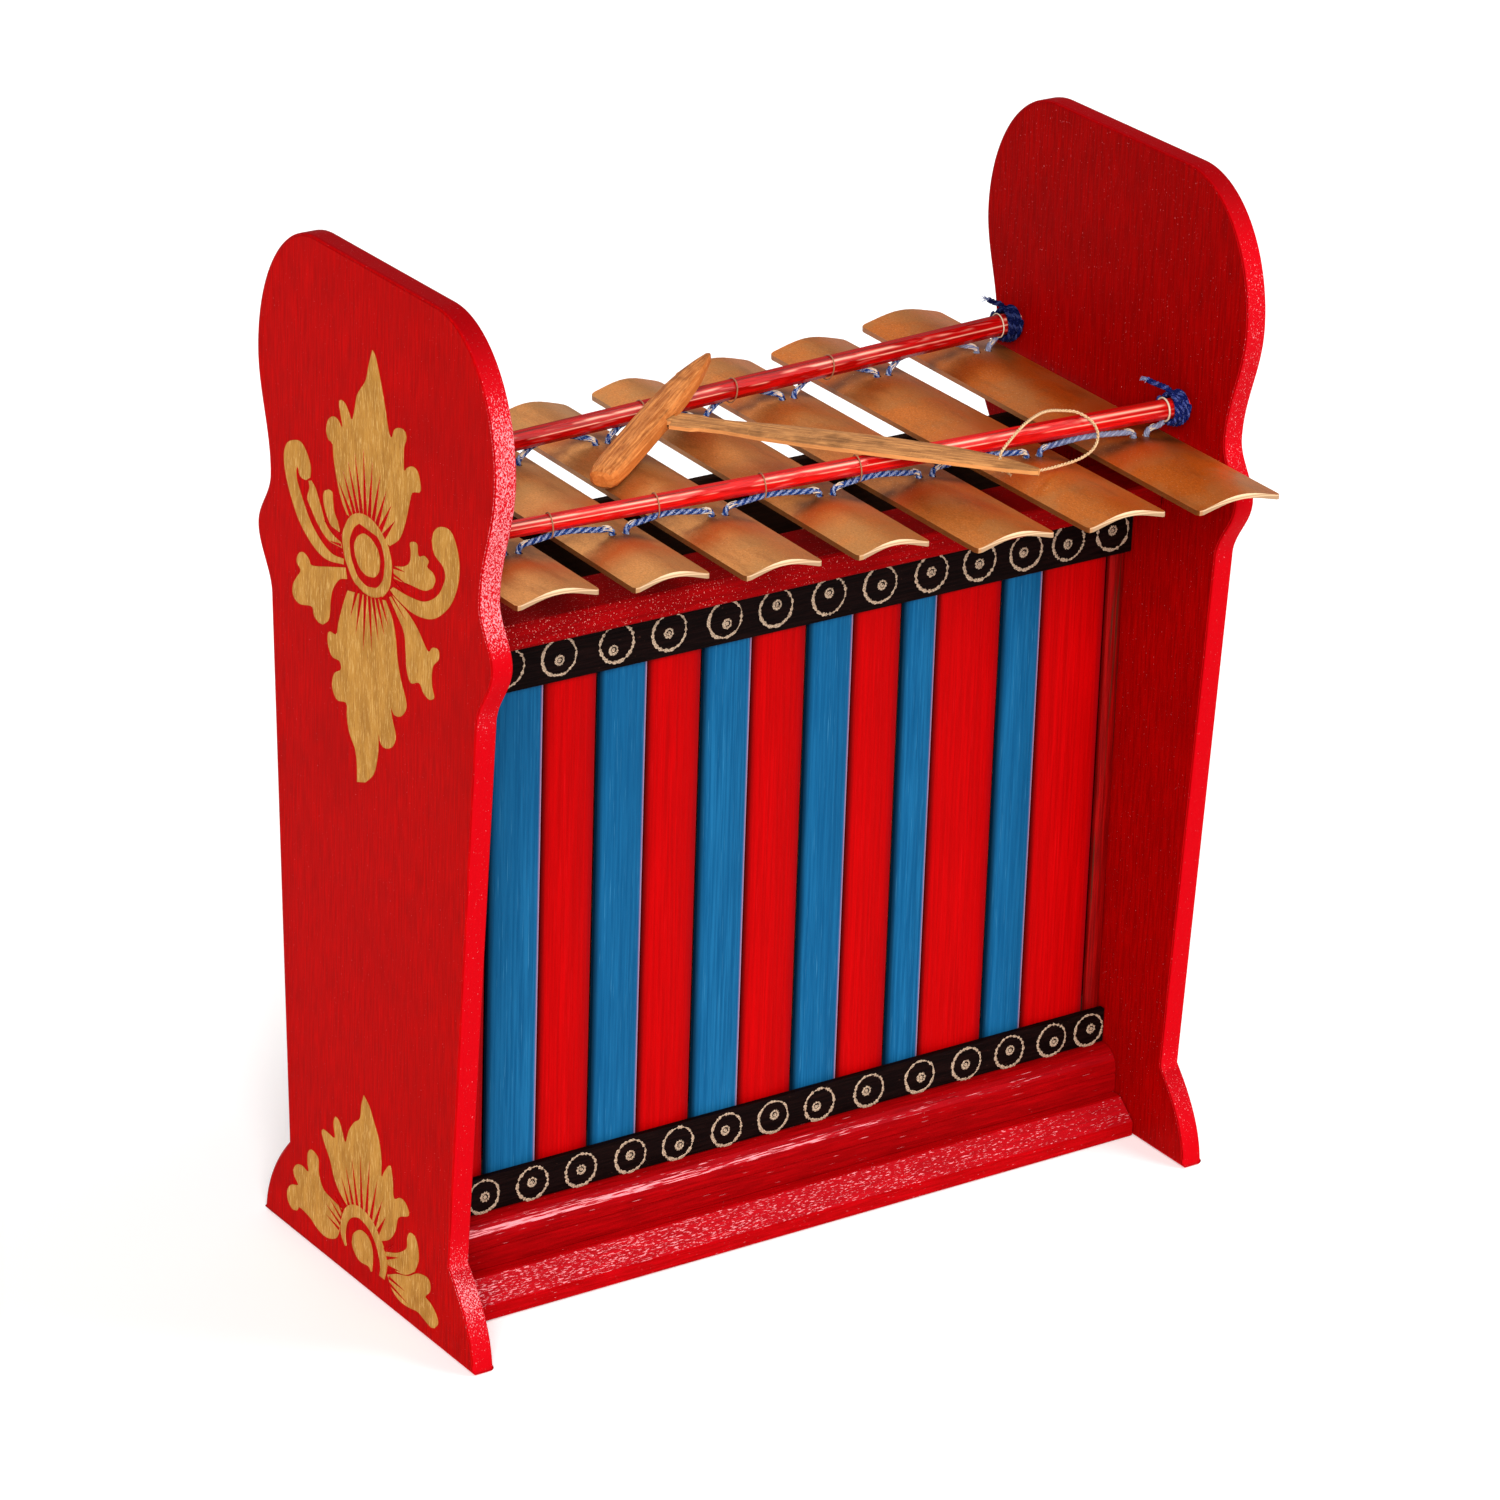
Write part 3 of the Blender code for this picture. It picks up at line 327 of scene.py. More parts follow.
# Painted flowers: the old stencilled ornament in flat gold paint on the outer face of each
# end panel, a whole flower high up and half a one at the foot, both cut by thin red strokes.
# Each leaf is given by its two sides from root to tip, Y and Z in turn, in millimetres.
RELIEF = 0.00012
FACE_X = -0.1700
PETALS, PETALS_INNER, EYE = (17.6, 15.4), (12.4, 11.9), (9.2, 7.9)
LEAVES = {
    "top_leaf": (
        (21.3, 310.5, 24.9, 314.3, 28.1, 320.4, 31.0, 329.1, 31.8, 334.4, 34.7, 335.1, 36.4, 337.8,
         35.3, 342.3, 31.9, 345.0, 28.3, 345.1, 24.7, 342.7, 26.4, 348.2, 27.4, 351.8, 26.2, 353.3,
         22.9, 352.8, 20.0, 349.9, 18.1, 348.0, 16.2, 353.2, 14.4, 359.2, 8.8, 366.1, 6.7, 372.5,
         4.2, 379.3),
        (-9.2, 308.8, -15.5, 313.5, -19.3, 320.3, -22.2, 329.0, -24.2, 334.3, -29.7, 336.4, -29.7, 339.8,
         -27.8, 343.7, -24.3, 344.4, -20.4, 342.5, -18.5, 340.6, -18.2, 349.1, -19.9, 353.2, -18.7, 356.0,
         -14.8, 355.9, -11.3, 353.9, -9.8, 350.2, -7.6, 352.3, -5.4, 359.2, -3.0, 366.1, -0.3, 372.9,
         2.1, 377.8, 4.2, 379.3)),
    "left_scroll": (
        (23.5, 290.2, 35.6, 287.9, 45.3, 289.8, 55.2, 295.7, 61.4, 303.2, 65.6, 311.0, 67.1, 318.4,
         64.7, 323.9, 59.0, 326.9, 54.1, 327.4, 49.9, 324.2, 47.5, 320.0, 47.9, 315.9),
        (23.5, 292.4, 31.9, 291.5, 40.0, 293.9, 47.4, 298.7, 53.5, 305.8, 57.7, 312.3, 57.7, 316.9,
         56.5, 316.4, 55.8, 314.6, 53.8, 313.7, 50.9, 313.9)),
    "left_sprig": (
        (24.7, 296.2, 34.4, 295.9, 41.7, 299.3, 47.1, 304.0, 49.9, 307.3, 48.4, 311.5, 48.9, 314.3),
        (25.5, 298.1, 31.8, 299.3, 36.6, 301.7, 39.3, 306.0, 41.8, 309.8, 44.0, 313.0, 47.0, 315.0)),
    "left_bud": (
        (26.9, 301.2, 32.0, 302.0, 36.2, 305.8, 38.2, 310.4, 37.7, 313.8, 34.6, 315.8),
        (26.5, 302.4, 27.9, 305.3, 30.4, 308.4, 31.4, 312.7, 31.9, 315.5, 34.6, 315.8)),
    "left_trefoil": (
        (22.3, 289.4, 33.1, 285.9, 46.3, 281.8, 48.7, 283.6, 52.7, 284.8, 56.1, 283.2, 57.6, 279.5,
         54.6, 277.0, 57.6, 273.2, 60.3, 269.2, 60.0, 265.0, 55.1, 263.4, 46.4, 265.5, 44.7, 262.4,
         41.2, 260.9),
        (21.0, 285.4, 26.3, 283.3, 30.6, 278.7, 32.3, 274.8, 33.0, 271.2, 33.2, 268.1, 34.4, 264.2,
         38.3, 261.2)),
    "right_trefoil": (
        (-11.7, 301.8, -19.1, 304.3, -23.1, 307.4, -23.7, 311.5, -23.2, 314.9, -27.8, 316.1, -29.0, 311.8,
         -33.0, 313.2, -36.0, 312.1, -34.9, 309.6, -38.8, 308.8, -40.7, 306.5, -38.9, 302.9),
        (-12.2, 297.3, -16.9, 297.7, -21.6, 298.6, -25.8, 299.0, -31.4, 299.6, -34.8, 300.5,
         -38.9, 302.9)),
    "right_scroll": (
        (-9.5, 291.9, -14.7, 290.1, -26.4, 288.5, -39.2, 291.1, -49.4, 298.6, -54.9, 307.0, -57.0, 315.4,
         -55.7, 322.6, -51.0, 328.6, -44.2, 328.2, -39.6, 325.0, -38.1, 321.0),
        (-11.8, 293.7, -21.7, 293.9, -33.3, 295.7, -42.4, 301.3, -46.9, 308.0, -47.3, 311.7, -45.4, 313.9,
         -42.2, 315.1, -39.8, 316.4, -38.6, 318.6)),
    "low_leaf": (
        (20.5, 281.0, 23.3, 275.3, 26.9, 266.1, 28.5, 260.8, 33.9, 260.0, 34.6, 255.3, 31.6, 251.0,
         26.0, 251.1, 25.0, 248.1, 29.9, 244.7, 31.3, 239.1, 27.8, 235.0, 21.0, 236.2, 20.5, 231.0,
         18.5, 225.0, 14.3, 219.9, 13.0, 213.6, 12.9, 207.6),
        (-6.5, 286.6, -11.3, 281.1, -13.8, 274.1, -15.1, 266.7, -17.5, 259.7, -21.2, 253.1, -21.3, 249.2,
         -17.8, 245.3, -13.0, 244.2, -10.6, 246.6, -11.9, 241.7, -14.4, 236.0, -12.1, 231.2, -7.3, 228.7,
         -3.7, 229.3, -2.2, 232.8, -1.9, 224.6, 0.9, 215.5, 6.9, 209.7)),
    "low_side_leaf": (
        (-9.0, 288.8, -14.8, 283.6, -19.6, 278.8, -20.9, 271.4, -21.7, 265.2, -24.6, 261.0, -30.4, 263.1,
         -33.5, 260.3, -37.5, 259.2, -40.5, 260.6),
        (-11.4, 290.3, -21.8, 287.4, -28.9, 283.5, -36.0, 277.6, -39.4, 280.1, -43.3, 280.6, -43.6, 277.1,
         -39.6, 272.6, -39.0, 266.3, -40.9, 261.5)),
    "half_leaf": (
        (18.8, 29.6, 24.1, 32.6, 28.3, 37.1, 31.2, 43.0, 35.4, 48.2, 37.6, 52.0, 36.6, 53.9, 32.4, 53.9,
         27.8, 54.0, 28.8, 59.1, 28.3, 62.1, 26.9, 63.4, 24.4, 62.2, 22.3, 58.8, 19.9, 55.5, 17.4, 61.7,
         13.4, 67.0, 9.3, 70.4, 8.2, 76.7, 6.6, 81.3),
        (-7.1, 25.8, -13.2, 29.3, -17.2, 34.7, -19.5, 41.4, -26.9, 45.6, -24.4, 49.7, -20.4, 50.1,
         -15.9, 47.9, -14.9, 54.8, -13.1, 60.5, -9.0, 56.1, -6.7, 52.6, -6.6, 59.8, -4.7, 67.5, -0.6, 73.9,
         2.5, 78.4, 6.6, 81.3)),
    "half_side_leaf": (
        (22.4, 26.2, 31.1, 27.1, 36.7, 28.5, 39.8, 33.5, 40.3, 39.7, 45.3, 41.3, 48.1, 38.7, 48.3, 34.5,
         47.7, 30.6, 52.3, 31.2, 56.6, 29.9, 59.1, 26.5, 58.0, 23.8, 55.4, 21.6, 60.8, 19.3, 63.7, 15.6,
         63.4, 11.7, 60.1, 9.2, 56.5, 10.0),
        (24.0, 15.9, 26.0, 12.2, 30.2, 9.7, 35.2, 8.6, 40.8, 9.4, 45.8, 11.4, 50.8, 12.3, 54.5, 12.3,
         55.6, 11.0)),
    "half_arc": (
        (19.7, 11.5, 22.6, 15.0, 22.9, 20.4, 19.9, 27.4, 14.4, 31.6, 7.4, 33.1, -0.8, 31.2, -6.4, 26.6,
         -10.6, 21.4, -11.3, 16.2, -9.6, 10.5),
        (18.6, 12.1, 19.5, 16.4, 18.4, 21.6, 15.7, 25.1, 12.2, 27.2, 8.1, 28.1, 1.6, 26.5, -3.0, 22.7,
         -5.8, 17.6, -6.6, 14.0, -5.9, 10.5)),
    "half_eye": (
        (14.6, 15.4, 13.5, 19.5, 8.7, 23.3, 3.9, 23.5, 0.4, 21.1, -1.0, 16.2, -0.4, 9.6),
        (14.2, 14.0, 13.3, 12.8, 12.2, 11.7, 10.0, 10.4, 7.2, 10.0, 2.3, 10.7, 0.2, 9.3)),
    "half_small_leaf": (
        (-10.6, 22.8, -18.7, 26.1, -25.4, 31.0, -26.0, 35.6, -27.7, 38.7, -31.4, 38.8, -33.7, 35.2,
         -34.2, 29.9, -31.6, 24.0),
        (-12.0, 17.3, -16.1, 17.8, -20.2, 18.3, -24.3, 19.4, -27.6, 21.1, -30.3, 23.1)),
    "half_low_leaf": (
        (-11.8, 13.6, -18.8, 17.1, -27.0, 20.1, -33.6, 24.2, -40.3, 25.7, -42.8, 23.7, -42.5, 20.4,
         -39.4, 17.0, -43.2, 16.0, -47.3, 13.2, -48.7, 10.0, -46.3, 7.0),
        (-13.5, 10.9, -15.2, 8.9, -19.0, 7.1, -23.1, 6.6, -27.2, 6.9, -33.9, 8.1, -38.0, 7.3, -43.1, 6.1,
         -45.5, 6.6)),
}
TOP_EYE, HALF_EYE = (6.9, 299.4), (5.8, 13.5)
RED_STROKES = (
    (TOP_EYE, 17.5, 2.5, ((48, 12), (58, 15), (67, 17), (76, 20), (85, 22), (94, 25), (103, 22), (112, 19),
                          (121, 16), (131, 14))),
    (TOP_EYE, 17.3, 2.3, ((-57, 11), (-66, 14), (-75, 16), (-84, 21), (-93, 23), (-102, 19), (-111, 15))),
    (TOP_EYE, 18.5, 1.2, ((-172, 9), (174, 13), (-163, 8), (-40, 12), (-31, 14), (-12, 8), (-3, 11),
                          (7, 9))),
    (HALF_EYE, 18.6, 2.4, ((58, 12), (67, 16), (76, 21), (85, 26), (94, 25), (103, 22), (112, 18),
                           (121, 14))),
    (HALF_EYE, 18.6, 1.5, ((132, 8), (142, 9), (151, 11), (160, 12), (169, 10), (36, 8), (25, 10), (13, 9),
                           (-2, 12), (-10, 15))))


def smooth_line(points, count):
    """A Catmull-Rom curve through the points, read at count places an equal length apart."""
    points = np.asarray(points, float)
    ends = np.vstack([2 * points[0] - points[1], points, 2 * points[-1] - points[-2]])
    t = np.linspace(0, 1, 9)[:-1, None, None]
    a, b, c, d = ends[:-3], ends[1:-2], ends[2:-1], ends[3:]
    square, cube = 2 * a - 5 * b + 4 * c - d, 3 * b - a - 3 * c + d
    fine = 0.5 * (2 * b + (c - a) * t + square * t ** 2 + cube * t ** 3)
    fine = np.vstack([fine.transpose(1, 0, 2).reshape(-1, points.shape[1]), points[-1:]])
    far = np.append(0, np.cumsum(np.linalg.norm(np.diff(fine, axis=0), axis=1)))
    places = np.linspace(0, far[-1], count)
    return np.stack([np.interp(places, far, column) for column in fine.T], 1)


def gather(parts):
    """Joins (points, faces) pairs into one pair, counting each part's faces on from the last."""
    points, faces, count = [], [], 0
    for more, corners in parts:
        points.append(np.asarray(more, float).reshape(-1, 3))
        faces += [[count + corner for corner in face] for face in corners]
        count += len(points[-1])
    return np.vstack(points), faces


def painted_leaf(left, right, height, count=70):
    """A flat film of paint inside two side curves that run from root to tip: the outline at
    the board, the same outline at the film's height, a wall between and one face on top."""
    first, last = (smooth_line(np.reshape(side, (-1, 2)), count) for side in (left, right))
    outline = np.vstack([first, last[::-1]]) / 1000
    keep = np.linalg.norm(outline - np.roll(outline, 1, 0), axis=1) > 1e-6
    outline = outline[keep]
    points = np.stack([np.pad(outline, ((0, 0), (1, 0))),
                       np.pad(outline, ((0, 0), (1, 0)), constant_values=-height)])
    points[1, :, 1:] = outline
    top = list(range(len(outline), 2 * len(outline)))
    return points, [*grid_faces(2, len(outline), True).tolist(), top]


def painted_ring(middle, outer, inner, height, count=72):
    """A flat oval ring of paint, or a disc where the inner radii are nothing."""
    turn = np.linspace(0, 2 * np.pi, count, endpoint=False)[None]
    share = np.linspace(0, 1, 7)[:, None]
    wide = inner[0] + (outer[0] - inner[0]) * share
    high = inner[1] + (outer[1] - inner[1]) * share
    ragged = 1 + 0.012 * np.sin(5 * turn + 1) + 0.008 * np.sin(11 * turn)
    lift = height * np.sqrt(np.clip(1 - (2 * share - 1) ** 2, 0, 1)) + 0 * turn
    points = np.stack([-lift, (middle[0] + wide * np.cos(turn) * ragged) / 1000,
                       (middle[1] + high * np.sin(turn) * ragged) / 1000], -1)
    return points, grid_faces(7, count, True)


gold = Finish("gold_paint", 0.03, metallic=0.1)
brushed = gold.noise(1700, (1, 1, 9), 3, 0.7)
patch = gold.noise(160, (1, 1, 3), 3)
colour = gold.layers((0.36, 0.160, 0.026), (patch.rise(0.3, 0.7), (0.48, 0.230, 0.044)),
                     (brushed.rise(0.54, 0.64) * 0.7, (0.66, 0.40, 0.13)),
                     (brushed.rise(0.42, 0.32) * 0.7, (0.24, 0.085, 0.012)))
gold_paint = gold.give(colour=colour, roughness=0.5 + patch * 0.2, height=brushed)

# Films that overlap differ a little in height, so that none lies in another's plane.
flower_parts = []
for number, (name, (left, right)) in enumerate(LEAVES.items()):
    layer = 1.5 if name in ("half_arc", "half_eye") else 1 + 0.02 * number
    flower_parts.append(painted_leaf(left, right, layer * RELIEF))
for outer, inner in ((PETALS, PETALS_INNER), (EYE, (0.0, 0.0))):
    flower_parts.append(painted_ring(TOP_EYE, outer, inner, 1.6 * RELIEF))
stroke_parts = []
for middle, start, wide, strokes in RED_STROKES:
    for turn, long in strokes:
        aim = np.array([-math.cos(math.radians(turn)), math.sin(math.radians(turn))])
        side = np.array([-aim[1], aim[0]])
        root = np.array(middle) + aim * start * (1, 0.88)
        tip = root + aim * long
        bend = root * 0.55 + tip * 0.45
        stroke_parts.append(painted_leaf([root + side * wide / 2, bend + side * wide * 0.3, tip],
                                         [root - side * wide / 2, bend - side * wide * 0.3, tip],
                                         (1.35 + 0.004 * len(stroke_parts)) * RELIEF, 12))
for side_name, mirror in (("left", 1), ("right", -1)):
    for name, parts, finish in (("gold_flowers", flower_parts, gold_paint),
                                ("red_strokes", stroke_parts, panel_paint)):
        points, faces = gather(parts)
        points = (points + (FACE_X, 0, 0)) * (mirror, 1, 1)
        faces = [face[::-1] for face in faces] if mirror > 0 else faces
        film = lay(f"{name}_{side_name}", points, faces, finish, "frame", smooth=False)

# Battens: the foot board, plinth, cornice and back board, planed lengths of the same painted
# wood glued between the panels, brushed along, and two bare rails inside, near black as painted
# shade in the case. The back board's inner face is painted shade too.


def dress(finish, *names):
    """Gives CAD nodes that keep their own meshes a material."""
    for name in names:
        nodes[name].data.materials[0] = finish


# On the foot board's slope and the plinth's nose the pale flecks are worn grain and a painted highlight,
# strongest at the left; on the cornice they are a sparse sprinkle of specks.
for name, deep, bright, flecks, glint_facing in (
        ("base_board", (0.26, 0.0005, 0.001), (0.42, 0.0008, 0.003), (0.155, 5, 0), (0.755, 0.10, 0, 0.60)),
        ("plinth", (0.19, 0.0004, 0.001), (0.33, 0.0007, 0.002), (0.31, 24, 0), (0.64, 0.17, 0.0259, 0.26)),
        ("cornice", (0.18, 0.0003, 0.0006), (0.29, 0.0005, 0.0012), (0.03, 1, 0.14), (0.5, 1.2, 0, 0.30))):
    dress(red_lacquer(f"{name}_paint", "X", deep, bright, flecks, glint_facing), name)

back = Finish("back_board", 0.02, 0.6)
streak = back.noise(1000, (18, 1, 1))
painted = back.mix(streak.rise(0.3, 0.75), (0.28, 0.0005, 0.0005), (0.42, 0.001, 0.001))
# The inner face of the back board is near black: painted shade inside the case.
inside = back.mix(streak, (0.012, 0.006, 0.004), (0.035, 0.016, 0.010))
colour = back.mix(back.axis(back.normal, "Y").rise(0.4, 0.7), inside, painted)
dress(back.give(colour=colour, height=streak), "rear_board")
# The two inner rails are near black: painted shade inside the case.
dark = Finish("rail_painted_shade", 0.05, 0.7)
colour = dark.mix(dark.noise(900, (18, 1, 1)), (0.010, 0.004, 0.003), (0.030, 0.012, 0.008))
dress(dark.give(colour=colour), "inner_rail_lower", "inner_rail_upper")

# Stiles: a rounded strip of dark stained bamboo at either end of the front wall, its brown
# streaks showing through thin red paint.
stain = Finish("stile_stain", 0.03)
vein = stain.noise(1100, (1, 1, 30))
colour = stain.layers((0.13, 0.001, 0.001), (vein.rise(0.35, 0.7), (0.26, 0.0015, 0.0015)),
                      (stain.noise(500, (1, 1, 40), 2).rise(0.60, 0.68) * 0.8, (0.045, 0.012, 0.006)))
dress(stain.give(colour=colour, roughness=0.3 + vein * 0.2, height=vein), "stile_left", "stile_right")

# Slats: thirteen split bamboo strips set upright and painted red and blue in turn. The paint
# shows the strokes of the brush, and the cut edge of each blue strip stayed pale, with a painted
# highlight on it. A painted shadow darkens each strip's left edge and the red strips' right edge.


def slat_lacquer(name, deep, bright, worn, raw, reach, numbers):
    """Thin paint on split bamboo: long streaks, a little wear, a painted shadow on the left edge, a
    right edge that shows another colour as far in as reach, and a near black back, bare bamboo with
    painted shade inside the case."""
    paint = Finish(name, 0.02)
    stroke = paint.noise(1000, (1, 1, 45), 4, 0.6)
    fibre = paint.noise(2600, (1, 1, 60), 2)
    colour = paint.layers(deep, (stroke.rise(0.3, 0.72), bright),
                          (paint.noise(30, (1, 1, 2.4), 2).rise(0.52, 0.8) * 0.6, deep),
                          (paint.noise(55, (1, 1, 60), 1).rise(0.40, 0.60) * 0.35, deep),
                          (fibre.rise(0.64, 0.74) * 0.45, worn))
    x = paint.axis(paint.place, "X")
    for number in numbers:
        low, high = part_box(f"slat_{number:02d}")
        # Each strip's left edge is darkened as a painted shadow in the gap; its right edge takes the raw
        # colour.
        colour = paint.layers(colour, (x.hill(low[0], 0.0017) * 0.9, tuple(part * 0.12 for part in deep)),
                              (x.hill(high[0], reach) * 0.8, raw))
    # Faces that look into the case are near black: bare bamboo with painted shade.
    colour = paint.mix(paint.axis(paint.normal, "Y").rise(0.3, 0.6), colour, (0.02, 0.010, 0.006))
    return paint.give(colour=colour, roughness=0.40 + stroke * 0.22, height=stroke * 0.7 + fibre * 0.4)


# Blue strips: a pale pink right edge, raw bamboo with a painted highlight. Red strips: a darker red right
# edge, a painted shadow.
slat_blue = slat_lacquer("slat_blue", (0.003, 0.068, 0.175), (0.009, 0.118, 0.268), (0.05, 0.24, 0.42),
                         (0.42, 0.20, 0.30), 0.0006, range(2, 14, 2))
slat_red = slat_lacquer("slat_red", (0.33, 0.0002, 0.0006), (0.46, 0.0003, 0.001), (0.56, 0.004, 0.007),
                        (0.20, 0.001, 0.003), 0.0022, range(1, 14, 2))
for number in range(1, 14):
    dress(slat_red if number % 2 else slat_blue, f"slat_{number:02d}")

# Bands: two flat black strips across the slats, hand stamped with a row of gold rings, each
# with a dot near its middle. Every stamp came out a little uneven. ROWS gives each row's
# height, the radius of its rings and their places as shares of the band's length.
BAND_FACE, BAND_LONG, BAND_MIDDLE = -0.0182, 0.3312, 0.51325
INK = 0.00011
ROWS = (
    ("upper", 0.2550, 0.0074,
     (.135, .2033, .2791, .3493, .4242, .4934, .5664, .6374, .7094, .7775, .8439, .9052, .9695)),
    ("lower", 0.0395, 0.0068,
     (.1149, .181, .2467, .3148, .3804, .4486, .5141, .5801, .6512, .725, .7936, .8572, .9201, .9755)))

ebony = Finish("band_paint", 0.02)
brush = ebony.noise(1300, (16, 1, 1))
colour = ebony.layers((0.0025, 0.0008, 0.0008), (brush.rise(0.35, 0.75), (0.0075, 0.0025, 0.0022)),
                      (ebony.noise(900, (3, 1, 1), 2, 0.7).rise(0.72, 0.80) * 0.5, (0.12, 0.045, 0.03)))
dress(ebony.give(colour=colour, roughness=0.42 + brush * 0.2, height=brush), "upper_band", "lower_band")

stamp = Finish("stamp_paint", roughness=0.55, metallic=0.2)
grit = stamp.noise(2400, detail=2, roughness=0.7)
colour = stamp.mix(grit.rise(0.38, 0.62), (0.14, 0.085, 0.050), (0.62, 0.46, 0.32))
stamp_paint = stamp.give(colour=colour, height=grit)


def stamped_ring(middle, radius, stroke, draw, rows=5, count=84):
    """A ring of paint in the plane of the band. Its radius and stroke follow a few waves of
    random height and phase, the stroke is heavier low on the left where the stamp was leaned
    on, and its section is a low round hump."""
    turn = np.linspace(0, 2 * np.pi, count, endpoint=False)
    waves = np.arange(2, 12)[:, None]
    wobble = (draw.normal(0, 1, (10, 1)) * np.sin(waves * turn + draw.uniform(0, 7, (10, 1)))).sum(0)
    swell = (draw.normal(0, 1, (10, 1)) * np.sin(3 * waves * turn + draw.uniform(0, 7, (10, 1)))).sum(0)
    mid = radius * (1 + 0.0045 * wobble)
    leaned = np.cos(turn - draw.normal(3.9, 0.5))
    half = stroke / 2 * np.clip(1 + 0.20 * swell + 0.32 * leaned, 0.25, 1.6)
    share = np.linspace(-1, 1, rows)[:, None]
    far = np.maximum(mid + share * half, 0)
    lift = INK * np.sqrt(np.clip(1 - share ** 2, 0, 1)) + 0 * far
    points = np.stack([middle[0] + far * np.cos(turn), middle[1] - lift, middle[2] + far * np.sin(turn)], -1)
    return points, grid_faces(rows, count, True)


draw = np.random.default_rng(7)
for band, height, radius, shares in ROWS:
    parts = []
    for share in shares:
        centre = np.array([(share - BAND_MIDDLE) * BAND_LONG, BAND_FACE - 0.00001, height])
        spot = centre + (draw.normal(0, 0.0007), 0, draw.normal(0, 0.0007))
        parts += [stamped_ring(centre, radius, 0.0010, draw),
                  stamped_ring(spot, 0.00165, 0.0009, draw, 5, 40),
                  stamped_ring(spot, 0.00045, 0.0007, draw, 3, 16)]
    points, faces = gather(parts)
    row = lay(f"{band}_stamps", points, [face[::-1] for face in faces], stamp_paint, "frame")

# Resonators: seven bamboo tubes that hang under the keys, open at the top, cut to length and
# left bare, between two bamboo rails.
cane = Finish("bare_bamboo")
fibre = cane.noise(1600, (1, 1, 45))
colour = cane.layers((0.36, 0.22, 0.095), (fibre.rise(0.3, 0.7), (0.60, 0.43, 0.20)),
                     (cane.noise(40, (1, 1, 3)).rise(0.5, 0.8) * 0.6, (0.25, 0.13, 0.05)))
cane_finish = cane.give(colour=colour, roughness=0.45 + fibre * 0.2, height=fibre)
dress(cane_finish, *(f"resonator_{number}" for number in range(1, 8)))
rail = Finish("rail_bamboo")
fibre = rail.noise(1600, (45, 1, 1))
colour = rail.mix(fibre.rise(0.3, 0.7), (0.30, 0.17, 0.07), (0.50, 0.34, 0.15))
rail_finish = rail.give(colour=colour, roughness=0.45 + fibre * 0.2, height=fibre)
dress(rail_finish, "tube_rail_front", "tube_rail_rear")

# Keys: seven sheets of bronze, arched across and hung on cords. The metal is satin, reddened by
# heat in a line beside each cord, darkened close beside the rods by a painted shadow and
# reflection of them, painted darker on its sides as shade, and bright where the ends were cut
# and filed.
# KEY_LINES gives every key's shift, length, middle and skew, the same as the solids have.
FRONT_LINE = (-0.0368, -0.05656)
REAR_LINE = (0.0521, 0.07023)
HALF_SPACE = 0.1612
PITCH = 2 * HALF_SPACE / 7
KEY_TOP, KEY_RISE = 0.3065, 0.0036
KEY_SLACKS = (0.0114, 0.0141, 0.0130, 0.0146, 0.0114, 0.0105, 0.0082)
KEY_LINES = tuple(zip((0.0042, 0.0029, -0.0016, -0.0014, -0.0046, -0.0034, -0.0002),
                      (0.1590, 0.1695, 0.1835, 0.1910, 0.2095, 0.2145, 0.2300),
                      (0.0100, 0.0087, 0.0057, 0.0060, -0.0002, -0.0012, 0.0),
                      (0.0040, 0.0050, 0.0050, 0.0055, 0.0040, 0.0020, 0.0060)))


def key_lie(index):
    """Where a key lies: the X and Y of its middle, how far it is turned, and half its width."""
    nudge, length, middle, skew = KEY_LINES[index]
    return (-HALF_SPACE + PITCH * (index + 0.5) + nudge, middle, -math.atan2(skew, length),
            (PITCH - KEY_SLACKS[index]) / 2)


